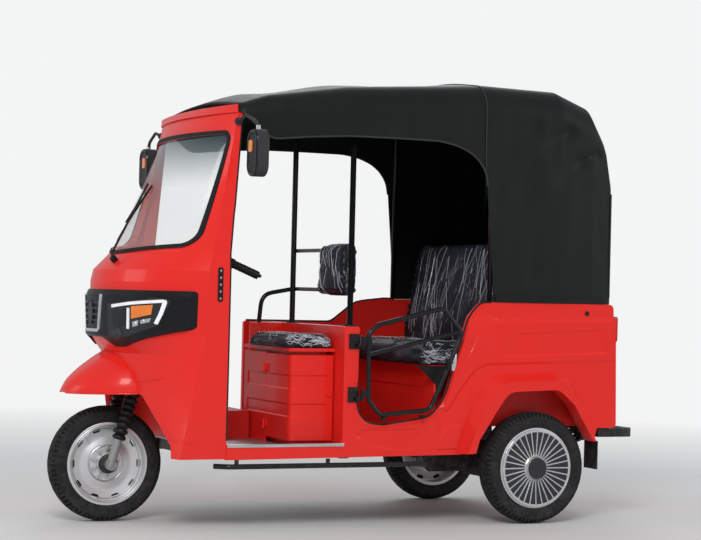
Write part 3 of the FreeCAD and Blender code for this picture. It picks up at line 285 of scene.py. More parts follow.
filmEffect = effect(
    "creasedFilm", (("Stretch", "Vector", (30, 30, 8)), ("Haze", "Float", 0.05), ("Crease Haze", "Float", 0.5)),
    (("Alpha", "Float"), ("Height", "Float")), buildFilm)


grilleBand = {"slope": 0.163, "offset": -0.0545, "low": 0.819}  # its inner edge: half width from height


def buildGrille(g, given):
    # a bright outer band, with the slats and the bare oval inside it painted dark
    where = g.node("TexCoord").outputs["Object"]
    parts = g.node("SeparateXYZ", Vector=where)
    side = g.math("ABSOLUTE", parts.outputs["Y"])
    height = parts.outputs["Z"]
    edge = g.math("ADD", g.math("MULTIPLY", height, grilleBand["slope"]), grilleBand["offset"])
    inside = g.math("MULTIPLY", g.math("LESS_THAN", side, edge), g.math("GREATER_THAN", height, grilleBand["low"]))
    return {"Color": g.mix(inside, given["Color"], given["Slats"]), "Metallic": g.math("SUBTRACT", 1.0, inside),
            "Roughness": g.spread(inside, 0.0, 1.0, 0.16, 0.4), "Height": g.noise(where, 500.0)}


grilleEffect = effect(
    "brightAndDark",
    (("Color", "Color", (0.82, 0.83, 0.84, 1)), ("Slats", "Color", (0.01, 0.01, 0.011, 1))),
    (("Color", "Color"), ("Metallic", "Float"), ("Roughness", "Float"), ("Height", "Float")), buildGrille)


def buildBrushed(g, given):
    # long fine scratches along one axis of the piece
    where = g.node("Mapping", Vector=g.node("TexCoord").outputs["Object"], Scale=given["Stretch"]).outputs[0]
    lines = g.noise(where, 1.0, 6, 0.7)
    across = g.node("SeparateXYZ", Vector=g.node("TexCoord").outputs["Object"]).outputs["Y"]
    rib = g.math("MULTIPLY", g.math("SINE", g.math("MULTIPLY", across, given["Ribs"])), given["Rib Height"])
    stain = g.noise(g.node("TexCoord").outputs["Object"], 6.0, 5, 0.6)
    colour = g.mix(g.spread(stain, 0.35, 0.75), given["Color"], given["Second Color"])
    rough = g.math("ADD", given["Roughness"], g.math("MULTIPLY", lines, 0.2))
    return {"Color": colour, "Roughness": rough, "Height": g.math("ADD", lines, rib)}


brushedEffect = effect(
    "brushedMetal",
    (("Color", "Color", (0.6, 0.6, 0.6, 1)), ("Second Color", "Color", (0.45, 0.45, 0.44, 1)),
     ("Stretch", "Vector", (8, 400, 400)), ("Roughness", "Float", 0.3), ("Ribs", "Float", 200.0),
     ("Rib Height", "Float", 0.0)),
    (("Color", "Color"), ("Roughness", "Float"), ("Height", "Float")), buildBrushed)


# materials
def finish(name, group, values, bump, **shader):
    # a material whose colour, roughness and bump (strength, depth) come from one of the effects
    made, g, principled = startMaterial(name)
    for key, value in shader.items():
        principled.inputs[key.replace("_", " ")].default_value = value
    source = g.node("Group", {"node_tree": group})
    for key, value in values.items():
        source.inputs[key].default_value = value
    for key, target in (("Color", "Base Color"), ("Roughness",) * 2, ("Metallic",) * 2, ("Alpha",) * 2):
        if key in source.outputs:
            g.join(source.outputs[key], principled.inputs[target])
    bumped = g.node("Bump", Strength=bump[0], Distance=bump[1], Height=source.outputs["Height"])
    g.join(bumped.outputs["Normal"], principled.inputs["Normal"])
    return made


def paint(name, colour, second, rough, dust, coat, grain=340.0, bump=(0.05, 0.0006), metallic=0.0, spread=0.06,
          specular=0.2):
    return finish(name, surfaceEffect,
                  {"Color": (*colour, 1), "Second Color": (*second, 1), "Patch Scale": 1.6, "Patch Amount": 0.6,
                   "Dust": dust, "Roughness": rough, "Roughness Spread": spread, "Grain Scale": grain},
                  bump, Coat_Weight=coat, Coat_Roughness=0.05, Metallic=metallic, Specular_IOR_Level=specular)


enamel = paint("redEnamel", (0.86, 0.024, 0.017), (0.81, 0.02, 0.014), 0.3, 0.04, 0.22)
# a darker copy of the red enamel: the darker red is painted shade for the inner faces
shadedEnamel = paint("redEnamelInside", (0.7, 0.022, 0.016), (0.62, 0.018, 0.014), 0.4, 0.06, 0.1)
frameBlack = paint("frameBlack", (0.014, 0.014, 0.015), (0.022, 0.021, 0.021), 0.42, 0.3, 0.05, 260, (0.15, 0.001))
tubeBlack = paint("tubeBlack", (0.007, 0.007, 0.008), (0.011, 0.011, 0.011), 0.22, 0.06, 0.3)
motorBlack = paint("motorBlack", (0.02, 0.02, 0.021), (0.04, 0.038, 0.036), 0.6, 0.35, 0.0, 90, (0.3, 0.002))
plasticBlack = paint("plasticBlack", (0.009, 0.009, 0.01), (0.014, 0.014, 0.015), 0.34, 0.06, 0.0, 900,
                     (0.12, 0.0004))
mouldedGrey = paint("mouldedGrey", (0.035, 0.035, 0.038), (0.045, 0.045, 0.047), 0.5, 0.1, 0.0, 1100, (0.2, 0.0004))
silverPaint = paint("silverPaint", (0.74, 0.75, 0.76), (0.64, 0.65, 0.66), 0.32, 0.1, 0.3, 500, (0.08, 0.0005), 0.4)
forkPaint = paint("forkPaint", (0.4, 0.41, 0.42), (0.3, 0.3, 0.31), 0.38, 0.2, 0.1, 400, (0.1, 0.0006), 0.7)
brightTrim = paint("brightTrim", (0.82, 0.83, 0.84), (0.7, 0.71, 0.72), 0.14, 0.03, 0.0, 500, (0.02, 0.0003), 1.0)
grilleTrim = finish("grilleTrim", grilleEffect, {}, (0.02, 0.0003))
blackRubber = paint("blackRubber", (0.01, 0.01, 0.011), (0.018, 0.018, 0.018), 0.6, 0.2, 0.0, 700, (0.25, 0.0006))
glossRubber = paint("glossRubber", (0.008, 0.008, 0.009), (0.013, 0.013, 0.013), 0.3, 0.05, 0.1, 500, (0.08, 0.0004))
tyreRubber = paint("tyreRubber", (0.013, 0.013, 0.014), (0.02, 0.0195, 0.019), 0.62, 0.1, 0.0, 420, (0.25, 0.0006),
                   spread=0.1)
canopyCloth = finish("canopyCloth", weaveEffect,
                     {"Color": (0.006, 0.0065, 0.0065, 1), "Worn Color": (0.018, 0.019, 0.019, 1), "Wear": 0.4,
                      "Threads": 2100.0, "Roughness": 0.46},
                     (0.2, 0.0004), Specular_IOR_Level=0.22)
seatVinyl = finish("seatVinyl", hideEffect,
                   {"Color": (0.006, 0.009, 0.017, 1), "Second Color": (0.011, 0.014, 0.024, 1), "Cell Scale": 300.0,
                    "Roughness": 0.44}, (0.3, 0.0008), Specular_IOR_Level=0.16)
# the white base colour, made more opaque along the creases, is a painted highlight
clearFilm = finish("clearFilm", filmEffect, {"Stretch": (38, 38, 6), "Haze": 0.004, "Crease Haze": 0.6},
                   (0.6, 0.003), Base_Color=(0.86, 0.9, 0.97, 1), Roughness=0.1, IOR=1.45, Specular_IOR_Level=0.35)
flatFilm = finish("flatFilm", filmEffect, {"Stretch": (26, 38, 38), "Haze": 0.012, "Crease Haze": 0.6},
                  (0.6, 0.004), Base_Color=(0.86, 0.9, 0.97, 1), Roughness=0.1, IOR=1.45, Specular_IOR_Level=0.35)
floorPlate = finish("floorPlate", brushedEffect,
                    {"Color": (0.52, 0.53, 0.54, 1), "Second Color": (0.38, 0.38, 0.37, 1), "Stretch": (14, 500, 500),
                     "Roughness": 0.28, "Ribs": 420.0, "Rib Height": 1.6}, (0.5, 0.0015), Metallic=0.9)
steelBright = finish("steelBright", brushedEffect,
                     {"Color": (0.68, 0.69, 0.7, 1), "Second Color": (0.5, 0.5, 0.5, 1), "Stretch": (120, 120, 120),
                      "Roughness": 0.22}, (0.1, 0.0004), Metallic=1.0)


def glassMaterial():
    # clear pane, darker and greener towards its top edge
    made, g, shader = startMaterial("screenGlass")
    where = g.node("TexCoord").outputs["Object"]
    height = g.node("SeparateXYZ", Vector=where).outputs["Z"]
    band = g.spread(height, 1.42, 1.62)
    smear = g.spread(g.noise(where, 2.2, 4), 0.35, 0.75)
    g.join(g.mix(band, (0.55, 0.62, 0.6, 1), (0.02, 0.06, 0.07, 1)), shader.inputs["Base Color"])
    g.join(g.math("ADD", g.math("MULTIPLY", band, 0.5), g.math("ADD", 0.14, g.math("MULTIPLY", smear, 0.06))),
           shader.inputs["Alpha"])
    shader.inputs["Roughness"].default_value = 0.02
    shader.inputs["IOR"].default_value = 1.5
    shader.inputs["Coat Weight"].default_value = 1.0
    return made


def lensMaterial(name, colour, alpha, glow=0.0):
    # moulded lens with fine vertical flutes
    made, g, shader = startMaterial(name)
    where = g.node("TexCoord").outputs["Object"]
    side = g.node("SeparateXYZ", Vector=where).outputs["Y"]
    flute = g.math("SINE", g.math("MULTIPLY", side, 900.0))
    bumped = g.node("Bump", Strength=0.15, Distance=0.0006, Height=flute)
    g.join(bumped.outputs["Normal"], shader.inputs["Normal"])
    shade = g.spread(g.noise(where, 30.0, 3), 0.3, 0.7)
    g.join(g.mix(shade, (*colour, 1), (*[c * 0.8 for c in colour], 1)), shader.inputs["Base Color"])
    shader.inputs["Roughness"].default_value = 0.06
    shader.inputs["Alpha"].default_value = alpha
    shader.inputs["Coat Weight"].default_value = 0.8
    if glow:
        shader.inputs["Emission Color"].default_value = (*colour, 1)
        shader.inputs["Emission Strength"].default_value = glow
    return made


coverForm = {"spokes": 32, "spokeHalf": 0.0027, "spokeReach": (0.057, 0.166), "rim": 0.1585, "ring": (0.046, 0.0575),
             "axleHeight": 0.245}


def coverMaterial():
    # black disc whose raised spokes and rings are silver, by their distance from the axle
    made, g, shader = startMaterial("wheelCover")
    spokes = coverForm["spokes"]
    where = g.node("TexCoord").outputs["Object"]
    parts = g.node("SeparateXYZ", Vector=where)
    along = g.math("SUBTRACT", parts.outputs["X"], axleX)
    up = g.math("SUBTRACT", parts.outputs["Z"], coverForm["axleHeight"])
    radius = g.math("SQRT", g.math("ADD", g.math("MULTIPLY", along, along), g.math("MULTIPLY", up, up)))
    angle = g.math("ARCTAN2", up, along)
    turned = g.math("ADD", g.math("MULTIPLY", angle, spokes / (2 * math.pi)), 0.5)
    near = g.math("ABSOLUTE", g.math("SUBTRACT", g.math("FRACT", turned), 0.5))
    width = g.math("MULTIPLY", near, g.math("MULTIPLY", radius, 2 * math.pi / spokes))
    spoke = g.math("LESS_THAN", width, coverForm["spokeHalf"])
    inside, ringInner = (g.math("MULTIPLY", g.math("GREATER_THAN", radius, low), g.math("LESS_THAN", radius, high))
                         for low, high in (coverForm["spokeReach"], coverForm["ring"]))
    ringOuter = g.math("GREATER_THAN", radius, coverForm["rim"])
    bright = g.math("MAXIMUM", g.math("MAXIMUM", g.math("MULTIPLY", spoke, inside), ringOuter), ringInner)
    speck = g.spread(g.noise(where, 60.0, 5, 0.7), 0.35, 0.75)
    g.join(g.mix(bright, (0.018, 0.018, 0.02, 1), g.mix(speck, (0.72, 0.73, 0.74, 1), (0.55, 0.55, 0.55, 1))),
           shader.inputs["Base Color"])
    g.join(g.math("MULTIPLY", bright, 0.85), shader.inputs["Metallic"])
    g.join(g.math("ADD", 0.24, g.math("MULTIPLY", speck, 0.12)), shader.inputs["Roughness"])
    bumped = g.node("Bump", Strength=0.1, Distance=0.0005, Height=speck)
    g.join(bumped.outputs["Normal"], shader.inputs["Normal"])
    return made


screenGlass = glassMaterial()
clearLens = lensMaterial("clearLens", (0.3, 0.31, 0.33), 0.045)
amberLens = lensMaterial("amberLens", (0.9, 0.22, 0.01), 1.0, 0.15)
redLens = lensMaterial("redLens", (0.55, 0.012, 0.01), 1.0, 0.05)
stripLight = lensMaterial("stripLight", (0.9, 0.92, 0.95), 1.0, 0.25)
wheelCover = coverMaterial()
mirrorFace = paint("mirrorFace", (0.8, 0.82, 0.84), (0.78, 0.8, 0.82), 0.02, 0.0, 0.0, 100, (0.0, 0.0001), 1.0, 0.01)

finishes = {
    "body_red": enamel, "frame_black": frameBlack, "tube_black": tubeBlack, "floor_plate": floorPlate,
    "motor_black": motorBlack, "screen_glass": screenGlass, "gasket_rubber": blackRubber, "panel_black": plasticBlack,
    "lamp_lens": clearLens, "trim_chrome": grilleTrim, "mirror_plastic": mouldedGrey, "battery_case": mouldedGrey,
    "seat_vinyl": seatVinyl, "canopy_vinyl": canopyCloth, "flap_rubber": blackRubber, "tail_lens": redLens,
    "tyre_rubber": tyreRubber, "rim_steel": silverPaint, "cover_trim": wheelCover, "fork_steel": forkPaint,
    "bellows_rubber": glossRubber,
}
# the deck, step box and toe board take the darker red, which is painted shade
own = {"rear_deck": shadedEnamel, "step_box": shadedEnamel, "toe_board": shadedEnamel}
for part in frame["record"]["subparts"]:
    mesh = nodes[part["node"]].data
    mesh.materials.clear()
    mesh.materials.append(own.get(part["node"], finishes[part["material_slot"]]))
print("materials on", len(nodes), "nodes")


# making pieces
def piece(name, bm, material, body="chassis", smooth=30.0):
    mesh = bpy.data.meshes.new(name)
    bm.to_mesh(mesh)
    bm.free()
    mesh.materials.append(material)
    made = bpy.data.objects.new(name, mesh)
    bpy.context.scene.collection.objects.link(made)
    if smooth:
        mesh.polygons.foreach_set("use_smooth", [True] * len(mesh.polygons))
        mesh.set_sharp_from_angle(angle=math.radians(smooth))
    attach(made, body)
    return made


def apply(made):
    # the object's modifiers baked into its mesh
    graph = bpy.context.evaluated_depsgraph_get()
    baked = bpy.data.meshes.new_from_object(made.evaluated_get(graph))
    made.modifiers.clear()
    made.data = baked


def surfaceTree(*names):
    # the CAD surfaces of these nodes, for laying trims on them
    bm = bmesh.new()
    for name in names:
        bm.from_mesh(nodes[name].data)
    tree = BVHTree.FromBMesh(bm)
    bm.free()
    return tree


def addTube(bm, points, radius, sides=10, closed=False):
    # a round bar through the points, mitred at each of them
    points = [Vector(p) for p in points]
    rings, count = [], len(points)
    for i, point in enumerate(points):
        before = points[i - 1] if i or closed else point
        after = points[(i + 1) % count] if i < count - 1 or closed else point
        ahead = (after - before).normalized()
        turn = ahead.to_track_quat("Z", "Y" if abs(ahead.y) < 0.9 else "X").to_matrix().to_4x4()
        made = bmesh.ops.create_circle(bm, segments=sides, radius=radius, matrix=Matrix.Translation(point) @ turn)
        rings.append([e for v in made["verts"] for e in v.link_edges])
    rings = [list(set(ring)) for ring in rings]
    for ring, following in zip(rings, rings[1:] + (rings[:1] if closed else [])):
        bmesh.ops.bridge_loops(bm, edges=ring + following)
    if not closed:
        for ring in (rings[0], rings[-1]):
            bmesh.ops.contextual_create(bm, geom=ring)
    return bm


def addBox(bm, low, high, bevel=0.0, segments=2):
    low, high = Vector(low), Vector(high)
    size = high - low
    place = Matrix.Translation((low + high) / 2) @ Matrix.Diagonal((*size, 1))
    made = bmesh.ops.create_cube(bm, size=1.0, matrix=place)
    if bevel:
        edges = list({e for v in made["verts"] for e in v.link_edges})
        bmesh.ops.bevel(bm, geom=edges, offset=bevel, segments=segments, affect="EDGES", profile=0.5, material=-1)
    return bm


def addHead(bm, place, out, radius, height, sides=6, washer=True):
    # a bolt head on its washer, standing on a surface with normal out
    turn = Matrix.Translation(place) @ Vector(out).to_track_quat("Z", "Y").to_matrix().to_4x4()
    if washer:
        bmesh.ops.create_cone(bm, cap_ends=True, segments=16, radius1=radius * 1.7, radius2=radius * 1.6,
                              depth=height * 0.35, matrix=turn @ Matrix.Translation((0, 0, height * 0.17)))
    bmesh.ops.create_cone(bm, cap_ends=True, segments=sides, radius1=radius, radius2=radius * 0.93,
                          depth=height, matrix=turn @ Matrix.Translation((0, 0, height * 0.5)))
    return bm


def addTurned(bm, rows, centre, axis, steps=32):
    # rows of (distance along the axis, radius), spun once round it
    axis = Vector(axis).normalized()
    side = axis.orthogonal().normalized()
    centre = Vector(centre)
    verts = [bm.verts.new(centre + axis * a + side * r) for a, r in rows]
    edges = [bm.edges.new(pair) for pair in zip(verts, verts[1:])]
    bmesh.ops.spin(bm, geom=verts + edges, cent=centre, axis=axis, angle=2 * math.pi, steps=steps, use_merge=True)
    return bm


def addPlate(bm, places, move):
    # a flat face through these places, drawn out by this much
    face = bm.faces.new([bm.verts.new(p) for p in places])
    grown = bmesh.ops.extrude_face_region(bm, geom=[face])
    bmesh.ops.translate(bm, vec=move, verts=[g for g in grown["geom"] if isinstance(g, bmesh.types.BMVert)])
    return bm


def tidy(bm, distance=1e-5):
    bmesh.ops.remove_doubles(bm, verts=bm.verts, dist=distance)
    bmesh.ops.recalc_face_normals(bm, faces=bm.faces)
    return bm


# canopy
canopyCover = {
    # station, half width, shoulder, ridge, shoulder radius (metres), as the solid's sections
    "sections": ((1.412, .497, 1.762, 1.806, .05), (1.27, .507, 1.805, 1.868, .08), (.9, .512, 1.862, 1.922, .11),
                 (.24, .512, 1.908, 1.972, .12), (-.12, .512, 1.9, 1.972, .13), (-.29, .5, 1.83, 1.952, .15),
                 (-.365, .485, 1.7, 1.88, .15), (-.398, .47, 1.56, 1.79, .15)),
    "hem": 0.9684, "thickness": 0.004, "sag": 0.012, "fold": 0.004,
    "supports": (1.395, .872, .225, -.27),
    # folds pulled into the wall: start and end (station, height), depth, half width
    "folds": (((-.03, 1.667), (-.155, 1.728), .013, .030), ((-.12, 1.522), (-.215, 1.600), .008, .034),
              ((-.205, 1.596), (-.31, 1.640), .009, .022), ((-.30, 1.45), (-.345, 1.20), .004, .03),
              ((.20, 1.70), (.02, 1.745), .005, .03), ((.10, 1.02), (.02, 1.10), .004, .03)),
    "door": ((.211, .95), (.256, 1.488), (.263, 1.522), (.277, 1.551), (.305, 1.587), (.347, 1.617), (.41, 1.642),
             (.494, 1.657), (.7, 1.658), (.91, 1.656), (1.1, 1.643), (1.237, 1.628), (1.273, 1.629), (1.315, 1.66),
             (1.395, 1.728), (1.5, 1.728), (1.5, .95)),
}


def canopySection(x):
    rows = canopyCover["sections"]
    for ahead, behind in zip(rows, rows[1:]):
        if x >= behind[0]:
            break
    share = min(max((x - behind[0]) / (ahead[0] - behind[0]), 0.0), 1.0)
    return [b + (a - b) * share for a, b in zip(ahead, behind)]


def canopyProfile(x, across):
    # across runs 0 at the left hem to 1 at the ridge; the right side mirrors it
    _, half, shoulder, ridge, radius = canopySection(x)
    slope = math.atan2(ridge - shoulder, half)
    turn = math.pi / 2 - slope
    reach = radius * math.tan(turn / 2)
    wallTop = shoulder - reach
    hem = canopyCover["hem"]
    if across < 0.5:
        return half, hem + (wallTop - hem) * across / 0.5
    if across < 0.7:
        angle = turn * (across - 0.5) / 0.2
        return half - radius + radius * math.cos(angle), wallTop + radius * math.sin(angle)
    angle = turn
    startY, startZ = half - radius + radius * math.cos(angle), wallTop + radius * math.sin(angle)
    share = (across - 0.7) / 0.3
    blend = 0.55 * half
    # straight up the roof, then an arc of the same slope over the ridge
    y = startY * (1 - share)
    z = startZ + (startY - y) * math.tan(slope)
    if y < blend:
        z -= math.tan(slope) * (blend - y) ** 2 / (2 * blend)
    return y, z


def makeCanopy():
    front, finer, rear = canopyCover["sections"][0][0], .242, canopyCover["sections"][-1][0]
    stations = [front - i * (front - finer) / 40 for i in range(40)] + [finer - i * .01 for i in range(64)] + [rear]
    caps = 14
    across = [0, .004, .012, .019, .021] + [.03 + .47 * i / 44 for i in range(45)]
    across += [.5 + .2 * i / 10 for i in range(1, 11)] + [.7 + .3 * i / 16 for i in range(1, 17)]
    line = [(1, a) for a in across] + [(-1, a) for a in reversed(across[:-1])]
    bm = bmesh.new()
    columns, lines = len(line), len(stations) + caps
    bmesh.ops.create_grid(bm, x_segments=columns - 1, y_segments=lines - 1, size=0.5)
    uv = bm.loops.layers.uv.new("cloth")
    bm.verts.ensure_lookup_table()
    spots = {}
    for vert in bm.verts:
        i, j = round((vert.co.x + 0.5) * (columns - 1)), round((vert.co.y + 0.5) * (lines - 1))
        spots[vert] = (i, j)
    for vert, (i, j) in spots.items():
        side, share = line[i]
        x = stations[min(j, len(stations) - 1)]
        y, z = canopyProfile(x, share)
        if j >= len(stations):
            k = 1 - ((j - len(stations) + 1) / caps) ** 0.8
            y, z = y * k, canopyCover["hem"] + (z - canopyCover["hem"]) * k
        flow = Vector((x, side * y, z))
        vert.co = flow + canopySlack(flow, x, share, j - len(stations))
        vert.co.x += axleX
    flat = stations + [stations[-1] - .06 * (k + 1) for k in range(caps)]
    for face in bm.faces:
        for loop in face.loops:
            i, j = spots[loop.vert]
            loop[uv].uv = (-flat[min(j, len(flat) - 1)], i * 0.02)
    tidy(bm, 1e-4)
    cover = piece("canopyCover", bm, canopyCloth, smooth=50)
    wall = cover.modifiers.new("wall", "SOLIDIFY")
    wall.thickness, wall.offset = canopyCover["thickness"], -1
    cutter = bmesh.new()
    addPlate(cutter, [(x + axleX, -0.8, z) for x, z in canopyCover["door"]], (0, 1.6, 0))
    bmesh.ops.recalc_face_normals(cutter, faces=cutter.faces)
    mesh = bpy.data.meshes.new("doorCutter")
    cutter.to_mesh(mesh)
    cutter.free()
    tool = bpy.data.objects.new("doorCutter", mesh)
    bpy.context.scene.collection.objects.link(tool)
    cut = cover.modifiers.new("doors", "BOOLEAN")
    cut.object, cut.operation, cut.solver = tool, "DIFFERENCE", "EXACT"
    apply(cover)
    bpy.data.objects.remove(tool)
    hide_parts("canopy")


def canopySlack(p, x, share, cap):
    # sag between the hoops, and long folds in the side walls and rear corners
    supports = canopyCover["supports"]
    sag = 0.0
    for ahead, behind in zip(supports, supports[1:]):
        if behind < x < ahead:
            sag = canopyCover["sag"] * math.sin(math.pi * (x - behind) / (ahead - behind)) ** 2
    move = Vector((0, 0, -sag if share > 0.7 else 0))
    side = 1 if p.y >= 0 else -1
    wallFade = math.sin(math.pi * min(share / 0.62, 1)) if share < 0.62 else 0.0
    wave = noise.noise(Vector((x * 7, side * 3.1, p.z * 1.6)))
    wave += 0.5 * noise.noise(Vector((x * 16, side * 9.0, p.z * 2.4)))
    inward = canopyCover["fold"] * wallFade * (wave - 0.5)
    crease = 0.0
    for (startX, startZ), (endX, endZ), depth, width in canopyCover["folds"]:
        start, reach = Vector((startX, startZ)), Vector((endX - startX, endZ - startZ))
        along = (Vector((x, p.z)) - start).dot(reach) / reach.length_squared
        gap = (Vector((x, p.z)) - start - reach * min(max(along, 0.0), 1.0)).length
        crease -= depth * math.exp(-(gap / width) ** 2) * (0.4 + 0.6 * min(max(along, 0.0), 1.0))
    if cap >= 0:
        move.x += 0.004 * noise.noise(Vector((p.y * 6, p.z * 3, 2.0))) - 0.002
    else:
        move.y += side * min(inward + crease - 0.001, 0.0)
    return move


makeCanopy()
print("canopy made")


# trims laid on the solid's surfaces
def lay(bm, rows, tree, thick, lift=0.0004, step=0.018, side=1, plane="side"):
    # a flat shape drawn in a side view (station, height) or a front view (y, height), laid on a surface
    face = bm.faces.new([bm.verts.new((a, b, 0)) for a, b in rows])
    low, high = min(a for a, _ in rows), max(a for a, _ in rows)
    cuts = int((high - low) / step)
    made = {"geom": [face, *face.verts, *face.edges]}
    for i in range(1, cuts + 1):
        at = low + (high - low) * i / (cuts + 1)
        made = bmesh.ops.bisect_plane(bm, geom=made["geom"], dist=1e-6, plane_co=(at, 0, 0), plane_no=(1, 0, 0))
    faces = [g for g in made["geom"] if isinstance(g, bmesh.types.BMFace)]
    verts = list({v for f in faces for v in f.verts})
    outward = {}
    for vert in verts:
        a, b = vert.co.x, vert.co.y
        if plane == "side":
            start, ray = Vector((station(a), side * 2.0, b)), Vector((0, -side, 0))
        else:
            start, ray = Vector((3.0, side * a, b)), Vector((-1, 0, 0))
        hit, normal, _, _ = tree.ray_cast(start, ray)
        if hit is None:
            hit, normal, _, _ = tree.find_nearest(Vector((station(a), side * 0.51, b)) if plane == "side"
                                                  else Vector((1.1, side * a, b)))
        if normal.dot(ray) > 0:
            normal = -normal
        vert.co, outward[vert] = hit + normal * lift, normal
    for face in faces:
        face.normal_update()
    grown = bmesh.ops.extrude_face_region(bm, geom=faces)
    for vert in [g for g in grown["geom"] if isinstance(g, bmesh.types.BMVert)]:
        near = min(verts, key=lambda v: (v.co - vert.co).length_squared)
        vert.co += outward[near] * thick
    return bm


def roundedBox(width, height, radius, centre, steps=4):
    # corners of an upright rounded rectangle as rows of two numbers
    rows = []
    for cornerX, cornerZ, start in ((1, 1, 0), (-1, 1, 90), (-1, -1, 180), (1, -1, 270)):
        for i in range(steps + 1):
            angle = math.radians(start + 90 * i / steps)
            rows.append((centre[0] + cornerX * (width / 2 - radius) + radius * math.cos(angle),
                         centre[1] + cornerZ * (height / 2 - radius) + radius * math.sin(angle)))
    return rows


def strip(rows, width):
    # a band of this width along open rows of two numbers
    left, right = [], []
    for i, (a, b) in enumerate(rows):
        before, after = rows[max(i - 1, 0)], rows[min(i + 1, len(rows) - 1)]
        da, db = after[0] - before[0], after[1] - before[1]
        reach = math.hypot(da, db) or 1.0
        left.append((a - db / reach * width / 2, b + da / reach * width / 2))
        right.append((a + db / reach * width / 2, b - da / reach * width / 2))
    return left + right[::-1]


def softened(rows, radius, steps=4):
    # open rows with their inner corners rounded
    out = [rows[0]]
    for before, here, after in zip(rows, rows[1:], rows[2:]):
        here, before, after = Vector(here), Vector(before), Vector(after)
        back, ahead = (before - here), (after - here)
        reach = min(radius, back.length * 0.45, ahead.length * 0.45)
        start, end = here + back.normalized() * reach, here + ahead.normalized() * reach
        for i in range(steps + 1):
            t = i / steps
            out.append(tuple(start * (1 - t) ** 2 + here * 2 * t * (1 - t) + end * t * t))
    return out + [rows[-1]]


# tyres
tyreForm = {
    "steps": 144,
    "profile": ((0.0415, .166), (0.0435, .176), (0.0465, .181), (0.0462, .183), (0.0495, .189), (0.0512, .197),
                (0.0505, .199), (0.0519, .207), (0.0519, .2145), (0.0492, .2245), (0.0472, .2285), (0.0415, .2365),
                (0.0345, .2405), (0.0305, .2416), (0.0298, .2352), (0.0252, .2358), (0.0245, .2428), (0.0125, .2445),
                (0.0118, .2378), (0.0072, .2382), (0.0065, .2448)),
}


def makeTyre(name, node, centre, body):
    # the profile is spun once; shoulder faces are then sunk between lugs, and the ribs waved
    half = tyreForm["profile"]
    rows = [(y, r) for y, r in half] + [(-y, r) for y, r in reversed(half)]
    bm = bmesh.new()
    verts = [bm.verts.new((0, y, r)) for y, r in rows]
    edges = [bm.edges.new(pair) for pair in zip(verts, verts[1:] + verts[:1])]
    steps = tyreForm["steps"]
    bmesh.ops.spin(bm, geom=verts + edges, cent=(0, 0, 0), axis=(0, 1, 0), angle=2 * math.pi, steps=steps,
                   use_merge=True)
    bm.verts.ensure_lookup_table()
    turn = lambda v: math.atan2(v.x, v.z) % (2 * math.pi) / (2 * math.pi) * steps
    for vert in bm.verts:
        radius = math.hypot(vert.co.x, vert.co.z)
        if radius > 0.235 and abs(vert.co.y) < 0.031:
            vert.co.y += 0.0022 * math.sin(turn(vert.co) * math.pi / 2)
    lugs, sipes = [], []
    for face in bm.faces:
        middle = face.calc_center_median()
        radius, index = math.hypot(middle.x, middle.z), int(turn(middle))
        if 0.2245 < radius < 0.2425 and abs(middle.y) > 0.0325 and index % 2 == 0:
            lugs.append(face)
        elif radius > 0.2425 and 0.0125 < abs(middle.y) < 0.0245 and index % 3 == 0:
            sipes.append(face)
    bmesh.ops.inset_region(bm, faces=lugs, thickness=0.0009, depth=-0.0065, use_even_offset=True)
    bmesh.ops.inset_individual(bm, faces=sipes, thickness=0.0026, depth=-0.003)
    bmesh.ops.translate(bm, verts=bm.verts, vec=centre)
    made = piece(name, tidy(bm), tyreRubber, body, 32)
    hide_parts(node)
    return made


wheelCentres = {"front": Vector((station(1.8), 0, .245)), "left": Vector((axleX, .495, .245)),
                "right": Vector((axleX, -.495, .245))}
makeTyre("frontTread", "front_tyre", wheelCentres["front"], "front_wheel")
makeTyre("leftTread", "rear_tyre_left", wheelCentres["left"], "rear_wheel_left")
makeTyre("rightTread", "rear_tyre_right", wheelCentres["right"], "rear_wheel_right")
print("tyres made")


# wheel fittings
hubForm = {"nuts": 9, "ring": 0.059, "seat": 0.0222, "nut": 0.0062, "valve": 0.128,
           "rings": ((.1645, .0455, .0022), (.1575, .0458, .0014), (.1475, .0272, .0016), (.0765, .0225, .0042)),
           "drum": ((-.05, .09), (-.05, .128), (-.006, .13), (-.006, .1484), (-.002, .1484), (-.002, .042)),
           "cap": ((.0215, .042), (.056, .0412), (.0592, .0385), (.0605, .031), (.0612, .012), (.0612, .0)),
           "rearCap": ((0.0605, .0), (0.0605, .026), (0.0585, .032), (0.056, .034)), "innerSeat": 0.0125,
           "valveTurn": 0.9, "valveReach": (.006, .034), "valveRadius": 0.004}


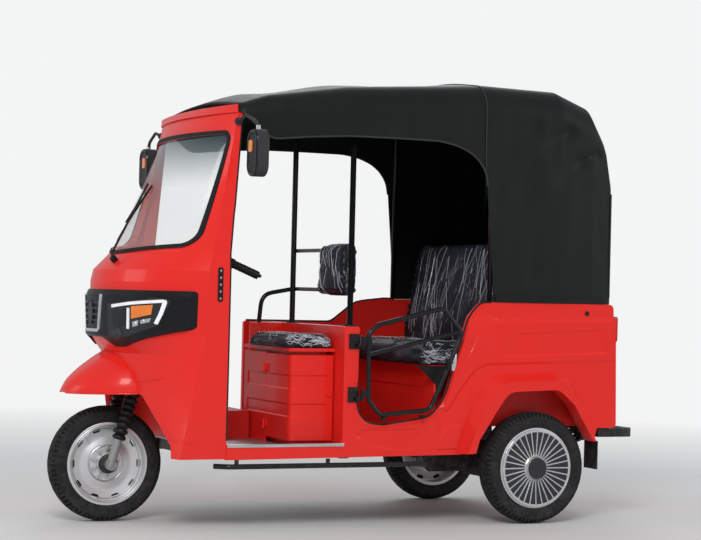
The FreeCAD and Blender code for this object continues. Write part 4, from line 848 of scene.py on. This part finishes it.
def makeHubs():
    for key, body, out in (("front", "front_wheel", 1), ("front", "front_wheel", -1),
                           ("left", "rear_wheel_left", 1), ("right", "rear_wheel_right", -1)):
        centre = wheelCentres[key]
        bm = bmesh.new()
        if key == "front":
            seat = hubForm["seat" if out > 0 else "innerSeat"]
            for i in range(hubForm["nuts"]):
                angle = 2 * math.pi * i / hubForm["nuts"] + 0.3
                around = Vector((math.cos(angle), 0, math.sin(angle)))
                addHead(bm, centre + around * hubForm["ring"] + Vector((0, out * seat, 0)), (0, out, 0),
                        hubForm["nut"], 0.014)
            if out > 0:
                for radius, y, thick in hubForm["rings"]:
                    circle = [centre + Vector((radius * math.cos(a), y, radius * math.sin(a)))
                              for a in (2 * math.pi * i / 72 for i in range(72))]
                    addTube(bm, circle, thick, 8, closed=True)
                dark = bmesh.new()
                addTurned(dark, hubForm["drum"], centre, (0, 1, 0), 48)
                addTurned(dark, hubForm["cap"], centre, (0, 1, 0), 32)
                piece("hubDrum", tidy(dark), motorBlack, body)
        else:
            addTurned(bm, hubForm["rearCap"], centre, (0, out, 0), 32)
        angle = hubForm["valveTurn"]
        stem = centre + Vector((math.cos(angle), 0, math.sin(angle))) * hubForm["valve"]
        ends = [stem + Vector((0, out * reach, 0)) for reach in hubForm["valveReach"]]
        addTube(bm, ends, hubForm["valveRadius"], 8)
        tidy(bm)
        material = steelBright if key == "front" else plasticBlack
        piece("hub_" + key + ("A" if out > 0 else "B"), bm, material, body)


makeHubs()


# the driver's side panel, canopy frame, boots and fender
steer = {"rake": math.radians(17), "offset": .03, "rise": .87}


def alongSteer(up, ahead, y):
    axis = Vector((-math.sin(steer["rake"]), 0, math.cos(steer["rake"])))
    forward = Vector((math.cos(steer["rake"]), 0, math.sin(steer["rake"])))
    return wheelCentres["front"] + forward * (ahead - steer["offset"]) + axis * up + Vector((0, y, 0))


driverFrame = {
    "poleX": .872, "farPole": -.45, "innerPole": -.19, "foot": .8525, "head": 1.858, "bars": (1.006, 1.179),
    "rest": ((.872, -.19, 1.006), (1.022, -.19, .978), (1.034, -.19, .853)),
    "tube": .0125, "barTube": .009, "restTube": .010, "flange": (.03, .006),
    "panel": ((.9055, -.015, .3435), (1.075, .005, .852)),  # beside the inner pole
}


def makeDriverFrame():
    # the CAD frame without its far pole, bars and arm rest, which stand further in
    form = driverFrame
    bm = bmesh.new()
    bm.from_mesh(nodes["canopy_frame"].data)
    bmesh.ops.remove_doubles(bm, verts=bm.verts, dist=1e-5)
    gone = []
    for face in bm.faces:
        spot = face.calc_center_median()
        x, y, z = spot.x - axleX, spot.y, spot.z
        pole = abs(x - form["poleX"]) < .034 and abs(y - form["farPole"]) < .034 and z < 1.8
        bar = .84 < x < .8725 and abs(y) < .437 and (abs(z - 1.006) < .013 or abs(z - 1.168) < .013)
        rest = .884 < x < .99 and y < -.425 and z < 1.03
        if pole or bar or rest:
            gone.append(face)
    bmesh.ops.delete(bm, geom=gone, context="FACES")
    bmesh.ops.holes_fill(bm, edges=[e for e in bm.edges if e.is_boundary], sides=0)
    x, y = station(form["poleX"]), form["innerPole"]
    addTube(bm, ((x, y, form["foot"]), (x, y, form["head"])), form["tube"], 20)
    wide, thick = form["flange"]
    bmesh.ops.create_cone(bm, cap_ends=True, segments=24, radius1=wide, radius2=wide, depth=thick,
                          matrix=Matrix.Translation((x, y, form["foot"] + thick / 2)))
    for z in form["bars"]:
        addTube(bm, ((x - .012, y, z), (x - .012, .448, z)), form["barTube"], 16)
    addTube(bm, [(station(a), b, c) for a, b, c in softened(form["rest"], .05, 6)], form["restTube"], 16)
    made = piece("canopyTubes", tidy(bm), tubeBlack, smooth=40)
    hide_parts("canopy_frame")
    (rear, right, low), (front, left, high) = form["panel"]
    bm = addBox(bmesh.new(), (station(rear), y + right, low), (station(front), y + left, high), .004)
    piece("driverSidePanel", tidy(bm), enamel)


bootForm = {"start": .110, "pitch": .027, "ribs": 10, "radius": .0195, "apart": .086,
            # one rib: distance along the leg, height over the sleeve
            "rib": ((.002, .006), (.005, .0095), (.010, .0105), (.016, .0095), (.0195, .006), (.0235, .002))}


def makeBoots():
    bm = bmesh.new()
    start, pitch, low, ribs = (bootForm[k] for k in ("start", "pitch", "radius", "ribs"))
    rows = [(start, low)]
    for i in range(ribs):
        rows += [(start + i * pitch + a, low + r) for a, r in bootForm["rib"]]
    rows += [(start + ribs * pitch, low + .002), (start + ribs * pitch, low)]
    for side in (1, -1):
        base = alongSteer(0, steer["offset"], side * bootForm["apart"])
        addTurned(bm, rows + rows[:1], base, alongSteer(1, 0, 0) - alongSteer(0, 0, 0), 28)
    made = piece("forkBoots", tidy(bm), glossRubber, "steering", 50)
    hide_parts("fork_bellows")


fenderForm = {
    # station, half width, lower edge, top
    "sections": ((1.60, .258, .556, .752), (1.64, .255, .556, .745), (1.78, .232, .552, .728),
                 (1.88, .180, .549, .672), (1.955, .110, .547, .612), (1.99, .045, .546, .566)),
    # one side of a section, from the lower edge to the top: share of half width, share of height
    "side": ((1, 0), (.95, .3), (.80, .62), (.55, .88), (.3, 1)),
    "crown": .002, "cells": 40, "skin": .004, "bead": .003, "buried": .012,
}


def between(rows, share):
    # a smooth curve through the rows, share running from 0 to 1
    spot = share * (len(rows) - 1)
    i = min(int(spot), len(rows) - 2)
    t = spot - i
    a, b, c, d = (Vector(rows[min(max(k, 0), len(rows) - 1)]) for k in (i - 1, i, i + 1, i + 2))
    return 0.5 * (2 * b + (c - a) * t + (2 * a - 5 * b + 4 * c - d) * t * t + (3 * b - a - 3 * c + d) * t ** 3)


def makeFender():
    cowl = surfaceTree("front_cowl")
    bm = bmesh.new()
    grid, cells = [], fenderForm["cells"]
    for i in range(cells + 1):
        x, half, low, top = between(fenderForm["sections"], i / cells)
        side = [(half * wide, low + (top - low) * high) for wide, high in fenderForm["side"]]
        side.append((0, top + fenderForm["crown"]))
        across = side + [(-y, z) for y, z in reversed(side[:-1])]
        grid.append([bm.verts.new((station(x), *between(across, j / cells))) for j in range(cells + 1)])
    for row, following in zip(grid, grid[1:]):
        for j in range(cells):
            face = bm.faces.new((row[j], row[j + 1], following[j + 1], following[j]))
            spot = face.calc_center_median()
            hit = cowl.ray_cast(Vector((3, spot.y, spot.z)), Vector((-1, 0, 0)))[0]
            if hit is not None and spot.x < hit.x - fenderForm["buried"]:
                bm.faces.remove(face)
    nose = bm.faces.new(grid[-1])
    bmesh.ops.triangulate(bm, faces=[nose])
    bmesh.ops.delete(bm, geom=[v for v in bm.verts if not v.link_faces], context="VERTS")
    made = piece("fenderShell", tidy(bm), enamel, smooth=60)
    wall = made.modifiers.new("wall", "SOLIDIFY")
    wall.thickness, wall.offset = fenderForm["skin"], -1
    apply(made)
    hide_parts("front_fender")
    edge = bmesh.new()
    for side in (1, -1):
        rows = [between(fenderForm["sections"], i / 24) for i in range(7, 25)]
        addTube(edge, [(station(x), side * (half - .001), low) for x, half, low, top in rows], fenderForm["bead"], 8)
    piece("fenderEdge", tidy(edge), enamel)


gateRail = {"root": (.813, .735), "slope": (-.972, .236), "reach": (.396, .438), "y": .532, "radius": .009}


def makeGateRailEnd():
    # the upper rail goes on a little past its bend
    (x, z), (alongX, alongZ) = gateRail["root"], gateRail["slope"]
    ends = [(station(x + alongX * reach), gateRail["y"], z + alongZ * reach) for reach in gateRail["reach"]]
    piece("gateRailEnd", tidy(addTube(bmesh.new(), ends, gateRail["radius"], 16)), tubeBlack, "gate")


makeDriverFrame()
makeBoots()
makeFender()
makeGateRailEnd()
print("frame, boots and fender made")


# padded seats: the solids' own forms, remeshed and blown up a little as cloth
seats = {
    "driver_cushion": {
        "voxel": 0.0055, "cap": 0.011, "shrink": 0.005, "held": "low", "seams": (), "film": flatFilm,
        "outline": ((.924, -.04), (1.152, -.04), (1.152, .414), (.924, .414)), "reach": (.7568, .8065)},
    "driver_backrest": {
        "voxel": 0.0055, "cap": 0.012, "shrink": 0.006, "held": "back", "seams": (), "film": clearFilm,
        "outline": ((.090, .976), (.412, .976), (.412, 1.212), (.116, 1.212)), "reach": (.824, .880)},
    "bench_cushion": {
        "voxel": 0.007, "cap": 0.015, "shrink": 0.007, "held": "low", "seams": (-.155, .155), "film": flatFilm},
    "bench_backrest": {
        "voxel": 0.0075, "cap": 0.018, "shrink": 0.008, "held": "back", "seams": (-.31, -.155, 0, .155, .31),
        "film": clearFilm},
}


def corners(made):
    box = [Vector(c) for c in made.bound_box]
    return (Vector([pick(c[i] for c in box) for i in range(3)]) for pick in (min, max))


def padBlock(form):
    # a block with soft corners on the outline, seen from above or from the front
    low, high = form["reach"]
    rows = form["outline"]
    rows = softened([rows[-1], *rows, rows[0]], .045, 5)[1:-1]
    if form["held"] == "back":
        bm = addPlate(bmesh.new(), [(station(low), y, z) for y, z in rows], (high - low, 0, 0))
    else:
        bm = addPlate(bmesh.new(), [(station(x), y, low) for x, y in rows], (0, 0, high - low))
    bmesh.ops.recalc_face_normals(bm, faces=bm.faces)
    rims = [e for e in bm.edges if len(e.link_faces) == 2 and e.calc_face_angle() > 1.0]
    bmesh.ops.bevel(bm, geom=rims, offset=.014, segments=3, affect="EDGES", profile=0.5, material=-1)
    return bm


cloth = {"quality": 5, "mass": 0.3, "stretch": 12, "shear": 6, "bend": 0.4, "pressure": 4.5, "frames": 20,
         "quickFrames": 7, "seamDepth": 0.005}


def startCushion(node, form):
    if "outline" in form:
        bm = padBlock(form)
    else:
        bm = bmesh.new()
        bm.from_mesh(nodes[node].data)
    bmesh.ops.remove_doubles(bm, verts=bm.verts, dist=1e-5)
    bmesh.ops.recalc_face_normals(bm, faces=bm.faces)
    made = piece(node.replace("_", " ").title().replace(" ", "") + "Pad", bm, seatVinyl, smooth=60)
    remesh = made.modifiers.new("even", "REMESH")
    remesh.mode, remesh.voxel_size = "VOXEL", form["voxel"]
    apply(made)
    low, _ = corners(made)
    held = made.vertex_groups.new(name="held")
    mesh = made.data
    for vert in mesh.vertices:
        vert.co -= vert.normal * form["shrink"] * (1 if form["held"] != "low" or vert.normal.z > -0.5 else 0)
    for vert in mesh.vertices:
        back = vert.normal.x < -0.8 if form["held"] == "back" else vert.co.z < low.z + 0.006
        seam = any(abs(vert.co.y - y) < form["voxel"] * 0.6 for y in form["seams"])
        seam = seam and vert.normal.x + vert.normal.z > 0.6
        if back or seam:
            held.add([vert.index], 1.0, "REPLACE")
        if seam:
            vert.co -= vert.normal * cloth["seamDepth"]
    blown = made.modifiers.new("cloth", "CLOTH")
    settings = blown.settings
    settings.quality, settings.mass = cloth["quality"], cloth["mass"]
    settings.tension_stiffness = settings.compression_stiffness = cloth["stretch"]
    settings.shear_stiffness, settings.bending_stiffness = cloth["shear"], cloth["bend"]
    settings.use_pressure, settings.uniform_pressure_force = True, cloth["pressure"]
    settings.vertex_group_mass = "held"
    settings.effector_weights.gravity = 0
    blown.collision_settings.use_collision = False
    blown.point_cache.frame_start, blown.point_cache.frame_end = 1, cloth["frames"]
    return made


def makeCushions():
    made = {node: startCushion(node, form) for node, form in seats.items()}
    rest = {node: [v.co.copy() for v in pad.data.vertices] for node, pad in made.items()}
    scene = bpy.context.scene
    for number in range(1, 1 + cloth["frames"]):
        scene.frame_set(number)
    for node, pad in made.items():
        form = seats[node]
        apply(pad)
        for vert, start in zip(pad.data.vertices, rest[node]):
            moved = vert.co - start
            if moved.length > form["cap"]:
                vert.co = start + moved.normalized() * form["cap"]
        pad.data.polygons.foreach_set("use_smooth", [True] * len(pad.data.polygons))
        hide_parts(node)
        print(node, "moved at most", round(max((v.co - s).length for v, s in zip(pad.data.vertices, rest[node])), 4))
    scene.frame_set(1)
    return made


pads = makeCushions()
print("cushions made")


def makeFilm(node):
    # loose clear film a few millimetres off the pad, open at its held side
    form = seats[node]
    bm = bmesh.new()
    bm.from_mesh(pads[node].data)
    bm.normal_update()
    hidden = [f for f in bm.faces if (f.normal.x < -0.75 if form["held"] == "back" else f.normal.z < -0.6)]
    bmesh.ops.delete(bm, geom=hidden, context="FACES")
    scale = Vector((16, 16, 5)) if form["held"] == "back" else Vector((9, 18, 18))
    for vert in bm.verts:
        p = Vector(vert.co[i] * scale[i] for i in range(3))
        crease = 1 - abs(noise.noise(p)) * 2
        fine = 1 - abs(noise.noise(p * 2.7)) * 2
        facing = vert.normal.x if form["held"] == "back" else vert.normal.z
        lift = 0.0012 + (0.0028 * max(crease, 0) ** 3 + 0.0015 * max(fine, 0) ** 2) * max(facing, 0) ** 0.5
        vert.co += vert.normal * (-0.002 if facing < -0.3 else lift)
    return piece(pads[node].name + "Film", bm, form["film"], smooth=70)


# straight sharp folds of the film: per pad (how many, mean slope, longest)
foldForm = {"driver_cushion": (26, .25, .16), "driver_backrest": (22, .35, .2), "bench_cushion": (46, .3, .3),
            "bench_backrest": (80, .28, .42)}
# white tubes along the film's folds and crumples: painted highlights where the creased film catches light
filmFold = paint("filmFold", (0.82, 0.86, 0.92), (0.7, 0.75, 0.82), 0.12, 0.0, 0.3, 200, (0.02, 0.0002), specular=0.5)


def makeFolds(node):
    count, slope, longest = foldForm[node]
    back = seats[node]["held"] == "back"
    tree = BVHTree.FromObject(pads[node], bpy.context.evaluated_depsgraph_get())
    low, high = corners(pads[node])
    bm = bmesh.new()
    for k in range(count):
        y = random.uniform(low.y + .02, high.y - .02)
        reach = longest * random.uniform(.25, 1.0)
        lean = random.gauss(0.0, slope)
        a = random.uniform(low.z + .03, high.z - .03) if back else random.uniform(low.x + .02, high.x - .02)
        points = []
        for i in range(13):
            along = (i / 12 - .5) * reach
            if back:
                start, ray = Vector((high.x + .3, y + along * lean, a + along)), Vector((-1, 0, 0))
            else:
                start, ray = Vector((a + along * lean, y + along, high.z + .3)), Vector((0, 0, -1))
            hit, normal, _, _ = tree.ray_cast(start, ray, .3 + (high - low).length)
            if hit is None or normal.dot(ray) > -.35:
                break
            points.append(hit + normal * .0042)
        if len(points) > 3:
            addTube(bm, points, random.uniform(.0003, .0008), 5)
    for k in range(0 if back else count * 2):  # crumples where the film is drawn down over the edge
        x, z = random.uniform(low.x + .02, high.x - .02), random.uniform(low.z + .012, high.z - .004)
        rise, sway = random.uniform(-.3, .3), random.uniform(.002, .006)
        points = []
        for i in range(9):
            along = (i / 8 - .5) * random.uniform(.045, .055)
            start = Vector((x + along, high.y + .3, z + along * rise + sway * math.sin(i * 1.3 + k)))
            hit, normal, _, _ = tree.ray_cast(start, Vector((0, -1, 0)), .4)
            if hit is None or normal.y < .35:
                break
            points.append(hit + normal * .0042)
        if len(points) > 3:
            addTube(bm, points, random.uniform(.0004, .0012), 5)
    return piece(pads[node].name + "Folds", tidy(bm), filmFold)


for node in seats:
    makeFilm(node)
    makeFolds(node)
print("film made")


# lamps and grille in the black panel
panelTree = surfaceTree("lamp_panel")
lampForm = {
    "strip": strip(softened(((.190, .916), (.30, .931), (.428, .943), (.414, .892), (.396, .848)), .006, 2), .013),
    "bar": strip(((.283, .911), (.281, .824)), .011),
    "amber": ((.298, .918), (.386, .926), (.380, .886), (.298, .866)),
    "chrome": ((.302, .853), (.330, .862), (.328, .840), (.304, .832)),
    "chromeWide": ((.338, .862), (.380, .872), (.374, .855), (.338, .846)),
    "bowl": ((.188, .895), (.268, .906), (.266, .842), (.205, .822)),
    "facet": ((.178, .806), (.236, .828), (.252, .800), (.216, .780)),
    "eyes": ((.322, .846), (.356, .858)), "eyeTurned": ((.0035, .008), (.0055, .0072), (.0062, .004), (.0064, 0)),
}


def makeLamps():
    for side, word in ((1, "Left"), (-1, "Right")):
        for name, material, thick in (("strip", stripLight, .0045), ("bar", stripLight, .0045),
                                      ("amber", amberLens, .004), ("chrome", brightTrim, .003),
                                      ("chromeWide", brightTrim, .003), ("bowl", plasticBlack, .002),
                                      ("facet", mouldedGrey, .003)):
            bm = bmesh.new()
            lay(bm, lampForm[name], panelTree, thick, side=side, plane="front", step=.02)
            piece("lamp" + word + name.title(), tidy(bm), material, smooth=25)
        bm = bmesh.new()
        for y, z in lampForm["eyes"]:
            hit, normal, _, _ = panelTree.ray_cast(Vector((3, side * y, z)), Vector((-1, 0, 0)))
            if normal.x < 0:
                normal = -normal
            addTurned(bm, lampForm["eyeTurned"], hit, normal, 24)
        piece("lampEyes" + word, tidy(bm), brightTrim)


makeLamps()
print("lamps made")


# canopy trims: hem band with its stitches, piping round the doorways, the welt over the roof
canopyTrim = {"hemTop": .998, "stitchHeight": .9915, "stitch": .0042, "pitch": .0072, "piping": .0042,
              "welt": .0026, "weltStation": .268, "corner": .0035, "cornerStation": -.3985}


def addWall(bm, path, low, high, inner, outer):
    # an upright strip along a level path, standing off it on the left of its direction
    rings = []
    for i, point in enumerate(path):
        before, after = path[max(i - 1, 0)], path[min(i + 1, len(path) - 1)]
        ahead = (after - before).normalized()
        out = Vector((ahead.y, -ahead.x, 0))
        rings.append([bm.verts.new(point + out * reach + Vector((0, 0, z)))
                      for reach, z in ((inner, low), (outer, low), (outer, high), (inner, high))])
    for ring, following in zip(rings, rings[1:]):
        for a in range(4):
            b = (a + 1) % 4
            bm.faces.new((ring[a], ring[b], following[b], following[a]))
    for ring in (rings[0], rings[-1]):
        bm.faces.new(ring)
    return bm


def hemPath():
    left = [Vector((station(x), canopySection(x)[1] + .0008, 0))
            for x in (.205, .15, .05, -.05, -.12, -.2, -.29, -.33, -.365, -.396)]
    left.append(Vector((station(-.3995), .468, 0)))
    return left + [Vector((p.x, -p.y, 0)) for p in reversed(left)]


def makeCanopyTrims():
    bm = bmesh.new()
    path = hemPath()
    addWall(bm, path, .9688, canopyTrim["hemTop"], .0002, .0022)
    walked = 0.0
    for start, end in zip(path, path[1:]):
        ahead = end - start
        out = Vector((ahead.y, -ahead.x, 0)).normalized() * .0024
        while walked < ahead.length - canopyTrim["stitch"]:
            a = start + ahead.normalized() * walked + out + Vector((0, 0, canopyTrim["stitchHeight"]))
            addTube(bm, (a, a + ahead.normalized() * canopyTrim["stitch"]), .0006, 4)
            walked += canopyTrim["pitch"]
        walked = max(0.0, walked - ahead.length)
    piece("canopyHem", tidy(bm), canopyCloth)
    bm = bmesh.new()
    for side in (1, -1):
        rows = softened([(x, z) for x, z in canopyCover["door"][:-2]], .02, 2)
        addTube(bm, [(station(x), side * (canopySection(x)[1] - .0012), z) for x, z in rows if z > .969],
                canopyTrim["piping"], 8)
    x = canopyTrim["weltStation"]
    rows = [canopyProfile(x, .345 + .655 * i / 36) for i in range(37)]
    rows = rows + [(-y, z) for y, z in reversed(rows[:-1])]
    addTube(bm, [(station(x if z > 1.6 else x - .002), y, z + (.0005 if z > 1.85 else 0)) for y, z in rows],
            canopyTrim["welt"], 8)
    x = canopyTrim["cornerStation"]
    for side in (1, -1):
        rows = [canopyProfile(x, share) for share in (.03, .2, .4, .5)]
        addTube(bm, [(station(x), side * (y - .001), z) for y, z in rows], canopyTrim["corner"], 8)
    # the piping takes the lighter moulded grey: partly the binding's own colour, partly a painted highlight along it
    piece("canopyPiping", tidy(bm), mouldedGrey)


makeCanopyTrims()
print("canopy trims made")


# body trims
sideTree = surfaceTree("body_side_left", "body_side_right", "arch_flares")
cowlTree = surfaceTree("front_cowl", "windscreen_frame")
glassTree = surfaceTree("windscreen_glass")
trimForm = {
    "doorway": ((.853, .62), (.856, .5), (.813, .449), (.742, .436), (.511, .469), (.441, .551), (.374, .776),
                (.334, .905), (.276, .966), (.222, .9675)),
    "vent": (.022, .141, .008, (1.483, 1.0155)),
    "creases": (((1.762, .602), (1.677, .631)), ((1.681, .385), (1.585, .368))),
    "board": ((.300, .688), (.572, .688), (.545, .672), (.462, .597), (.425, .55), (.40, .50), (.36, .60)),
    "plug": (-.261, .927), "plugTurned": ((0, .0), (0, .0105), (.003, .0105), (.0045, .008), (.0045, 0)),
    "ventSlots": (5, .9585, .0285),  # how many, lowest height, pitch
    "sill": (.912, 1.436),
}


def shifted(rows, distance):
    # open rows moved sideways by this distance
    band = strip(rows, 2 * abs(distance))
    return band[:len(rows)] if distance > 0 else band[len(rows):][::-1]


def pillarEdge(side):
    # the rear edge of the door pillar, found on the panels from below the brow to the sill
    rows = []
    for i in range(34):
        z = .375 + i * .0405
        for j in range(70):
            x = 1.36 + j * .0015
            hit = cowlTree.ray_cast(Vector((station(x), side * 2, z)), Vector((0, -side, 0)))[0]
            if hit is not None and side * hit.y > .4:
                rows.append((x, side * hit.y, z))
                break
    return rows


def quarterEdge():
    # the upper edge of the right quarter beside the bench
    rows = []
    for i in range(40):
        x = .215 + i * .0195
        for j in range(100):
            z = .975 - j * .0015
            hit = sideTree.ray_cast(Vector((station(x), -2, z)), Vector((0, 1, 0)))[0]
            if hit is not None and hit.y < -.4:
                rows.append((x, z))
                break
    return rows


def makeBodyTrims():
    bm = bmesh.new()
    addTube(bm, [(station(x), .5085, z) for x, z in softened(trimForm["doorway"], .05, 5)], .0042, 8)
    addTube(bm, [(station(x), -.5, z) for x, z in quarterEdge()], .008, 8)
    for side in (1, -1):
        addTube(bm, [(station(x - .0015), side * (y - .002), z) for x, y, z in pillarEdge(side)], .0042, 8)
    piece("edgeRubber", tidy(bm), blackRubber)
    bm = bmesh.new()
    rows = shifted(softened(trimForm["doorway"], .05, 5), .014)
    addTube(bm, [(station(x), .5098, z) for x, z in rows], .0026, 8)
    for side in (1, -1):
        for rows in trimForm["creases"]:
            lay(bm, strip(rows, .011), cowlTree, .0024, step=.012, side=side)
    piece("pressedLines", tidy(bm), enamel)
    bm = bmesh.new()
    for side in (1, -1):
        lay(bm, roundedBox(*trimForm["vent"]), cowlTree, .003, side=side)
    piece("pillarVents", tidy(bm), plasticBlack)
    bm = bmesh.new()
    for side in (1, -1):
        count, lowest, pitch = trimForm["ventSlots"]
        for i in range(count):
            slot = roundedBox(.007, .010, .003, (1.483, lowest + pitch * i), 2)
            lay(bm, slot, cowlTree, .0012, lift=.0028, side=side)
    piece("pillarVentSlots", tidy(bm), steelBright)
    bm = bmesh.new()
    rear, front = (station(x) for x in trimForm["sill"])
    for side in (1, -1):
        for y, half, low, bevel in ((.4985, .0135, .3583, .0006), (.5122, .0008, .3475, .0004)):
            addBox(bm, (rear, side * y - half, low), (front, side * y + half, .3603), bevel)
    piece("doorSills", tidy(bm), steelBright)
    bm = addPlate(bmesh.new(), [(station(x), .4812, z) for x, z in trimForm["board"]], (0, .005, 0))
    piece("benchSideBoard", tidy(bm), plasticBlack)
    bm = bmesh.new()
    x, z = trimForm["plug"]
    for side in (1, -1):
        addTurned(bm, trimForm["plugTurned"], (station(x), side * .5105, z), (0, side, 0), 20)
    piece("sidePlugs", tidy(bm), blackRubber)


makeBodyTrims()


# fittings on the gate, its hinges and the poles
fittingForm = {
    "hinges": (.555, .780), "hingeBolts": ((.864, -.012), (.889, -.012), (.864, .032), (.889, .032)),
    "poles": (.45, -.19), "poleBolts": (3, .022),  # how many, on what radius
    "striker": ((.390, .5108, .668), (.412, .5128, .742)),
    # latch body and the two stops under the lower rail
    "latch": (((.426, .524, .672), (.452, .544, .714)), ((.732, .524, .456), (.752, .542, .474)),
              ((.549, .524, .463), (.569, .542, .481))),
    "bolt": ((.439, .534, .70), (.418, .534, .704)),
}


def atStation(spot):
    return station(spot[0]), spot[1], spot[2]


def makeFittings():
    form = fittingForm
    bm = bmesh.new()
    for z in form["hinges"]:
        for x, up in form["hingeBolts"]:
            addHead(bm, (station(x), .5161, z + up), (0, 1, 0), .0032, .0025)
    count, radius = form["poleBolts"]
    for y in form["poles"]:
        for i in range(count):
            angle = 2 * math.pi * i / count + .5
            spot = (station(driverFrame["poleX"]) + radius * math.cos(angle), y + radius * math.sin(angle), .859)
            addHead(bm, spot, (0, 0, 1), .004, .004)
    piece("boltHeads", tidy(bm), motorBlack)
    bm = addBox(bmesh.new(), *(atStation(p) for p in form["striker"]), .0006)
    piece("gateStriker", tidy(bm), steelBright)
    bm = bmesh.new()
    for block in form["latch"]:
        addBox(bm, *(atStation(p) for p in block), .004)
    addTube(bm, [atStation(p) for p in form["bolt"]], .004, 8)
    piece("gateLatch", tidy(bm), plasticBlack, "gate")


makeFittings()


# mirrors: bezel, inner panel, indicator and glass on the moulded heads
mirrorForm = {
    "place": (1.408, .70, 1.548), "front": 1.4292, "rear": 1.3838,
    # beads round the head: on which face, off it, width, height, corner, wire radius, sides
    "beads": (("front", -.001, .094, .174, .041, .0085, 10), ("rear", .001, .098, .178, .043, .006, 8)),
    # plates: name, on which face, off it, width, height, corner, steps, moved out and up, thickness, material
    "plates": (("Panel", "front", 0, .076, .156, .034, 6, 0, 0, .0035, plasticBlack),
               ("Indicator", "front", .003, .034, .048, .009, 4, -.014, .028, .005, amberLens),
               ("Glass", "rear", 0, .09, .168, .04, 6, 0, 0, -.0015, mirrorFace)),
    "collar": (.088, .112, .0098),
}


def makeMirrors():
    form = mirrorForm
    x, out, up = form["place"]
    for side, word in ((1, "Left"), (-1, "Right")):
        bm = bmesh.new()
        for face, off, width, height, corner, wire, sides in form["beads"]:
            rows = roundedBox(width, height, corner, (side * out, up), 7)
            addTube(bm, [(station(form[face]) + off, y, z) for y, z in rows], wire, sides, closed=True)
        piece("mirrorBezel" + word, tidy(bm), tubeBlack)
        for name, face, off, width, height, corner, steps, outward, upward, thick, material in form["plates"]:
            rows = roundedBox(width, height, corner, (side * (out + outward), up + upward), steps)
            bm = addPlate(bmesh.new(), [(station(form[face]) + off, y, z) for y, z in rows], (thick, 0, 0))
            piece("mirror" + name + word, tidy(bm), material)
        low, high, radius = form["collar"]
        bm = addTube(bmesh.new(), [(station(x), side * out, up + z) for z in (low, high)], radius, 14)
        piece("mirrorCollar" + word, tidy(bm), steelBright)


makeMirrors()


# wiper blade: its line over the screen (y, height), width, thickness
wiperForm = ((((-.118, 1.196), (.02, 1.432)), .008, .007), (((-.075, 1.270), (-.02, 1.365)), .004, .015))


def makeWiper():
    bm = bmesh.new()
    for rows, width, thick in wiperForm:
        lay(bm, strip(rows, width), glassTree, thick, plane="front", step=.02)
    piece("wiperBlade", tidy(bm), blackRubber)


makeWiper()


# handlebar switches and levers
def makeControls():
    top = steer["rise"]  # the bar's clamp, up the steering axis
    for side, word in ((1, "Left"), (-1, "Right")):
        start, end = alongSteer(top + .084, -.110, side * .318), alongSteer(top + .069, -.253, side * .332)
        ahead = (end - start).normalized()
        out = Vector((0, side, 0))
        bm = bmesh.new()
        hold = end - ahead * .134
        addTube(bm, (hold - ahead * .022, hold - ahead * .02, hold + ahead * .02, hold + ahead * .022), .021, 16)
        addBox(bm, hold - Vector((.017, .012, .028)), hold + Vector((.017, .012, .006)), .004)
        bend = hold + out * .034 + Vector((0, 0, -.004))
        lever = (hold - ahead * .006 + out * .012, bend - ahead * .004, bend + ahead * .012, bend + ahead * .13)
        addTube(bm, lever, .0046, 8)
        bmesh.ops.create_uvsphere(bm, u_segments=12, v_segments=8, radius=.008,
                                  matrix=Matrix.Translation(bend + ahead * .134))
        for i in range(9):
            spot = end - ahead * (.1 - i * .0115)
            addTube(bm, (spot, spot + ahead * .004), .0182, 16)
        piece("barControls" + word, tidy(bm), plasticBlack, "steering")


makeControls()


# tail lamps: lens bands on the solid's own lamp bodies
tailForm = {"bands": (("Stop", .862, .910, redLens), ("Turn", .832, .859, amberLens),
                      ("Back", .805, .829, stripLight)),
            "across": (.377, .473), "depth": (-.4475, -.4435)}


def makeTailLamps():
    rear, front = (station(x) for x in tailForm["depth"])
    for side, word in ((1, "Left"), (-1, "Right")):
        for name, low, high, material in tailForm["bands"]:
            ends = sorted(side * y for y in tailForm["across"])
            bm = addBox(bmesh.new(), (rear, ends[0], low), (front, ends[1], high), .0015)
            piece("tail" + name + word, tidy(bm), material)


makeTailLamps()
print("trims made")
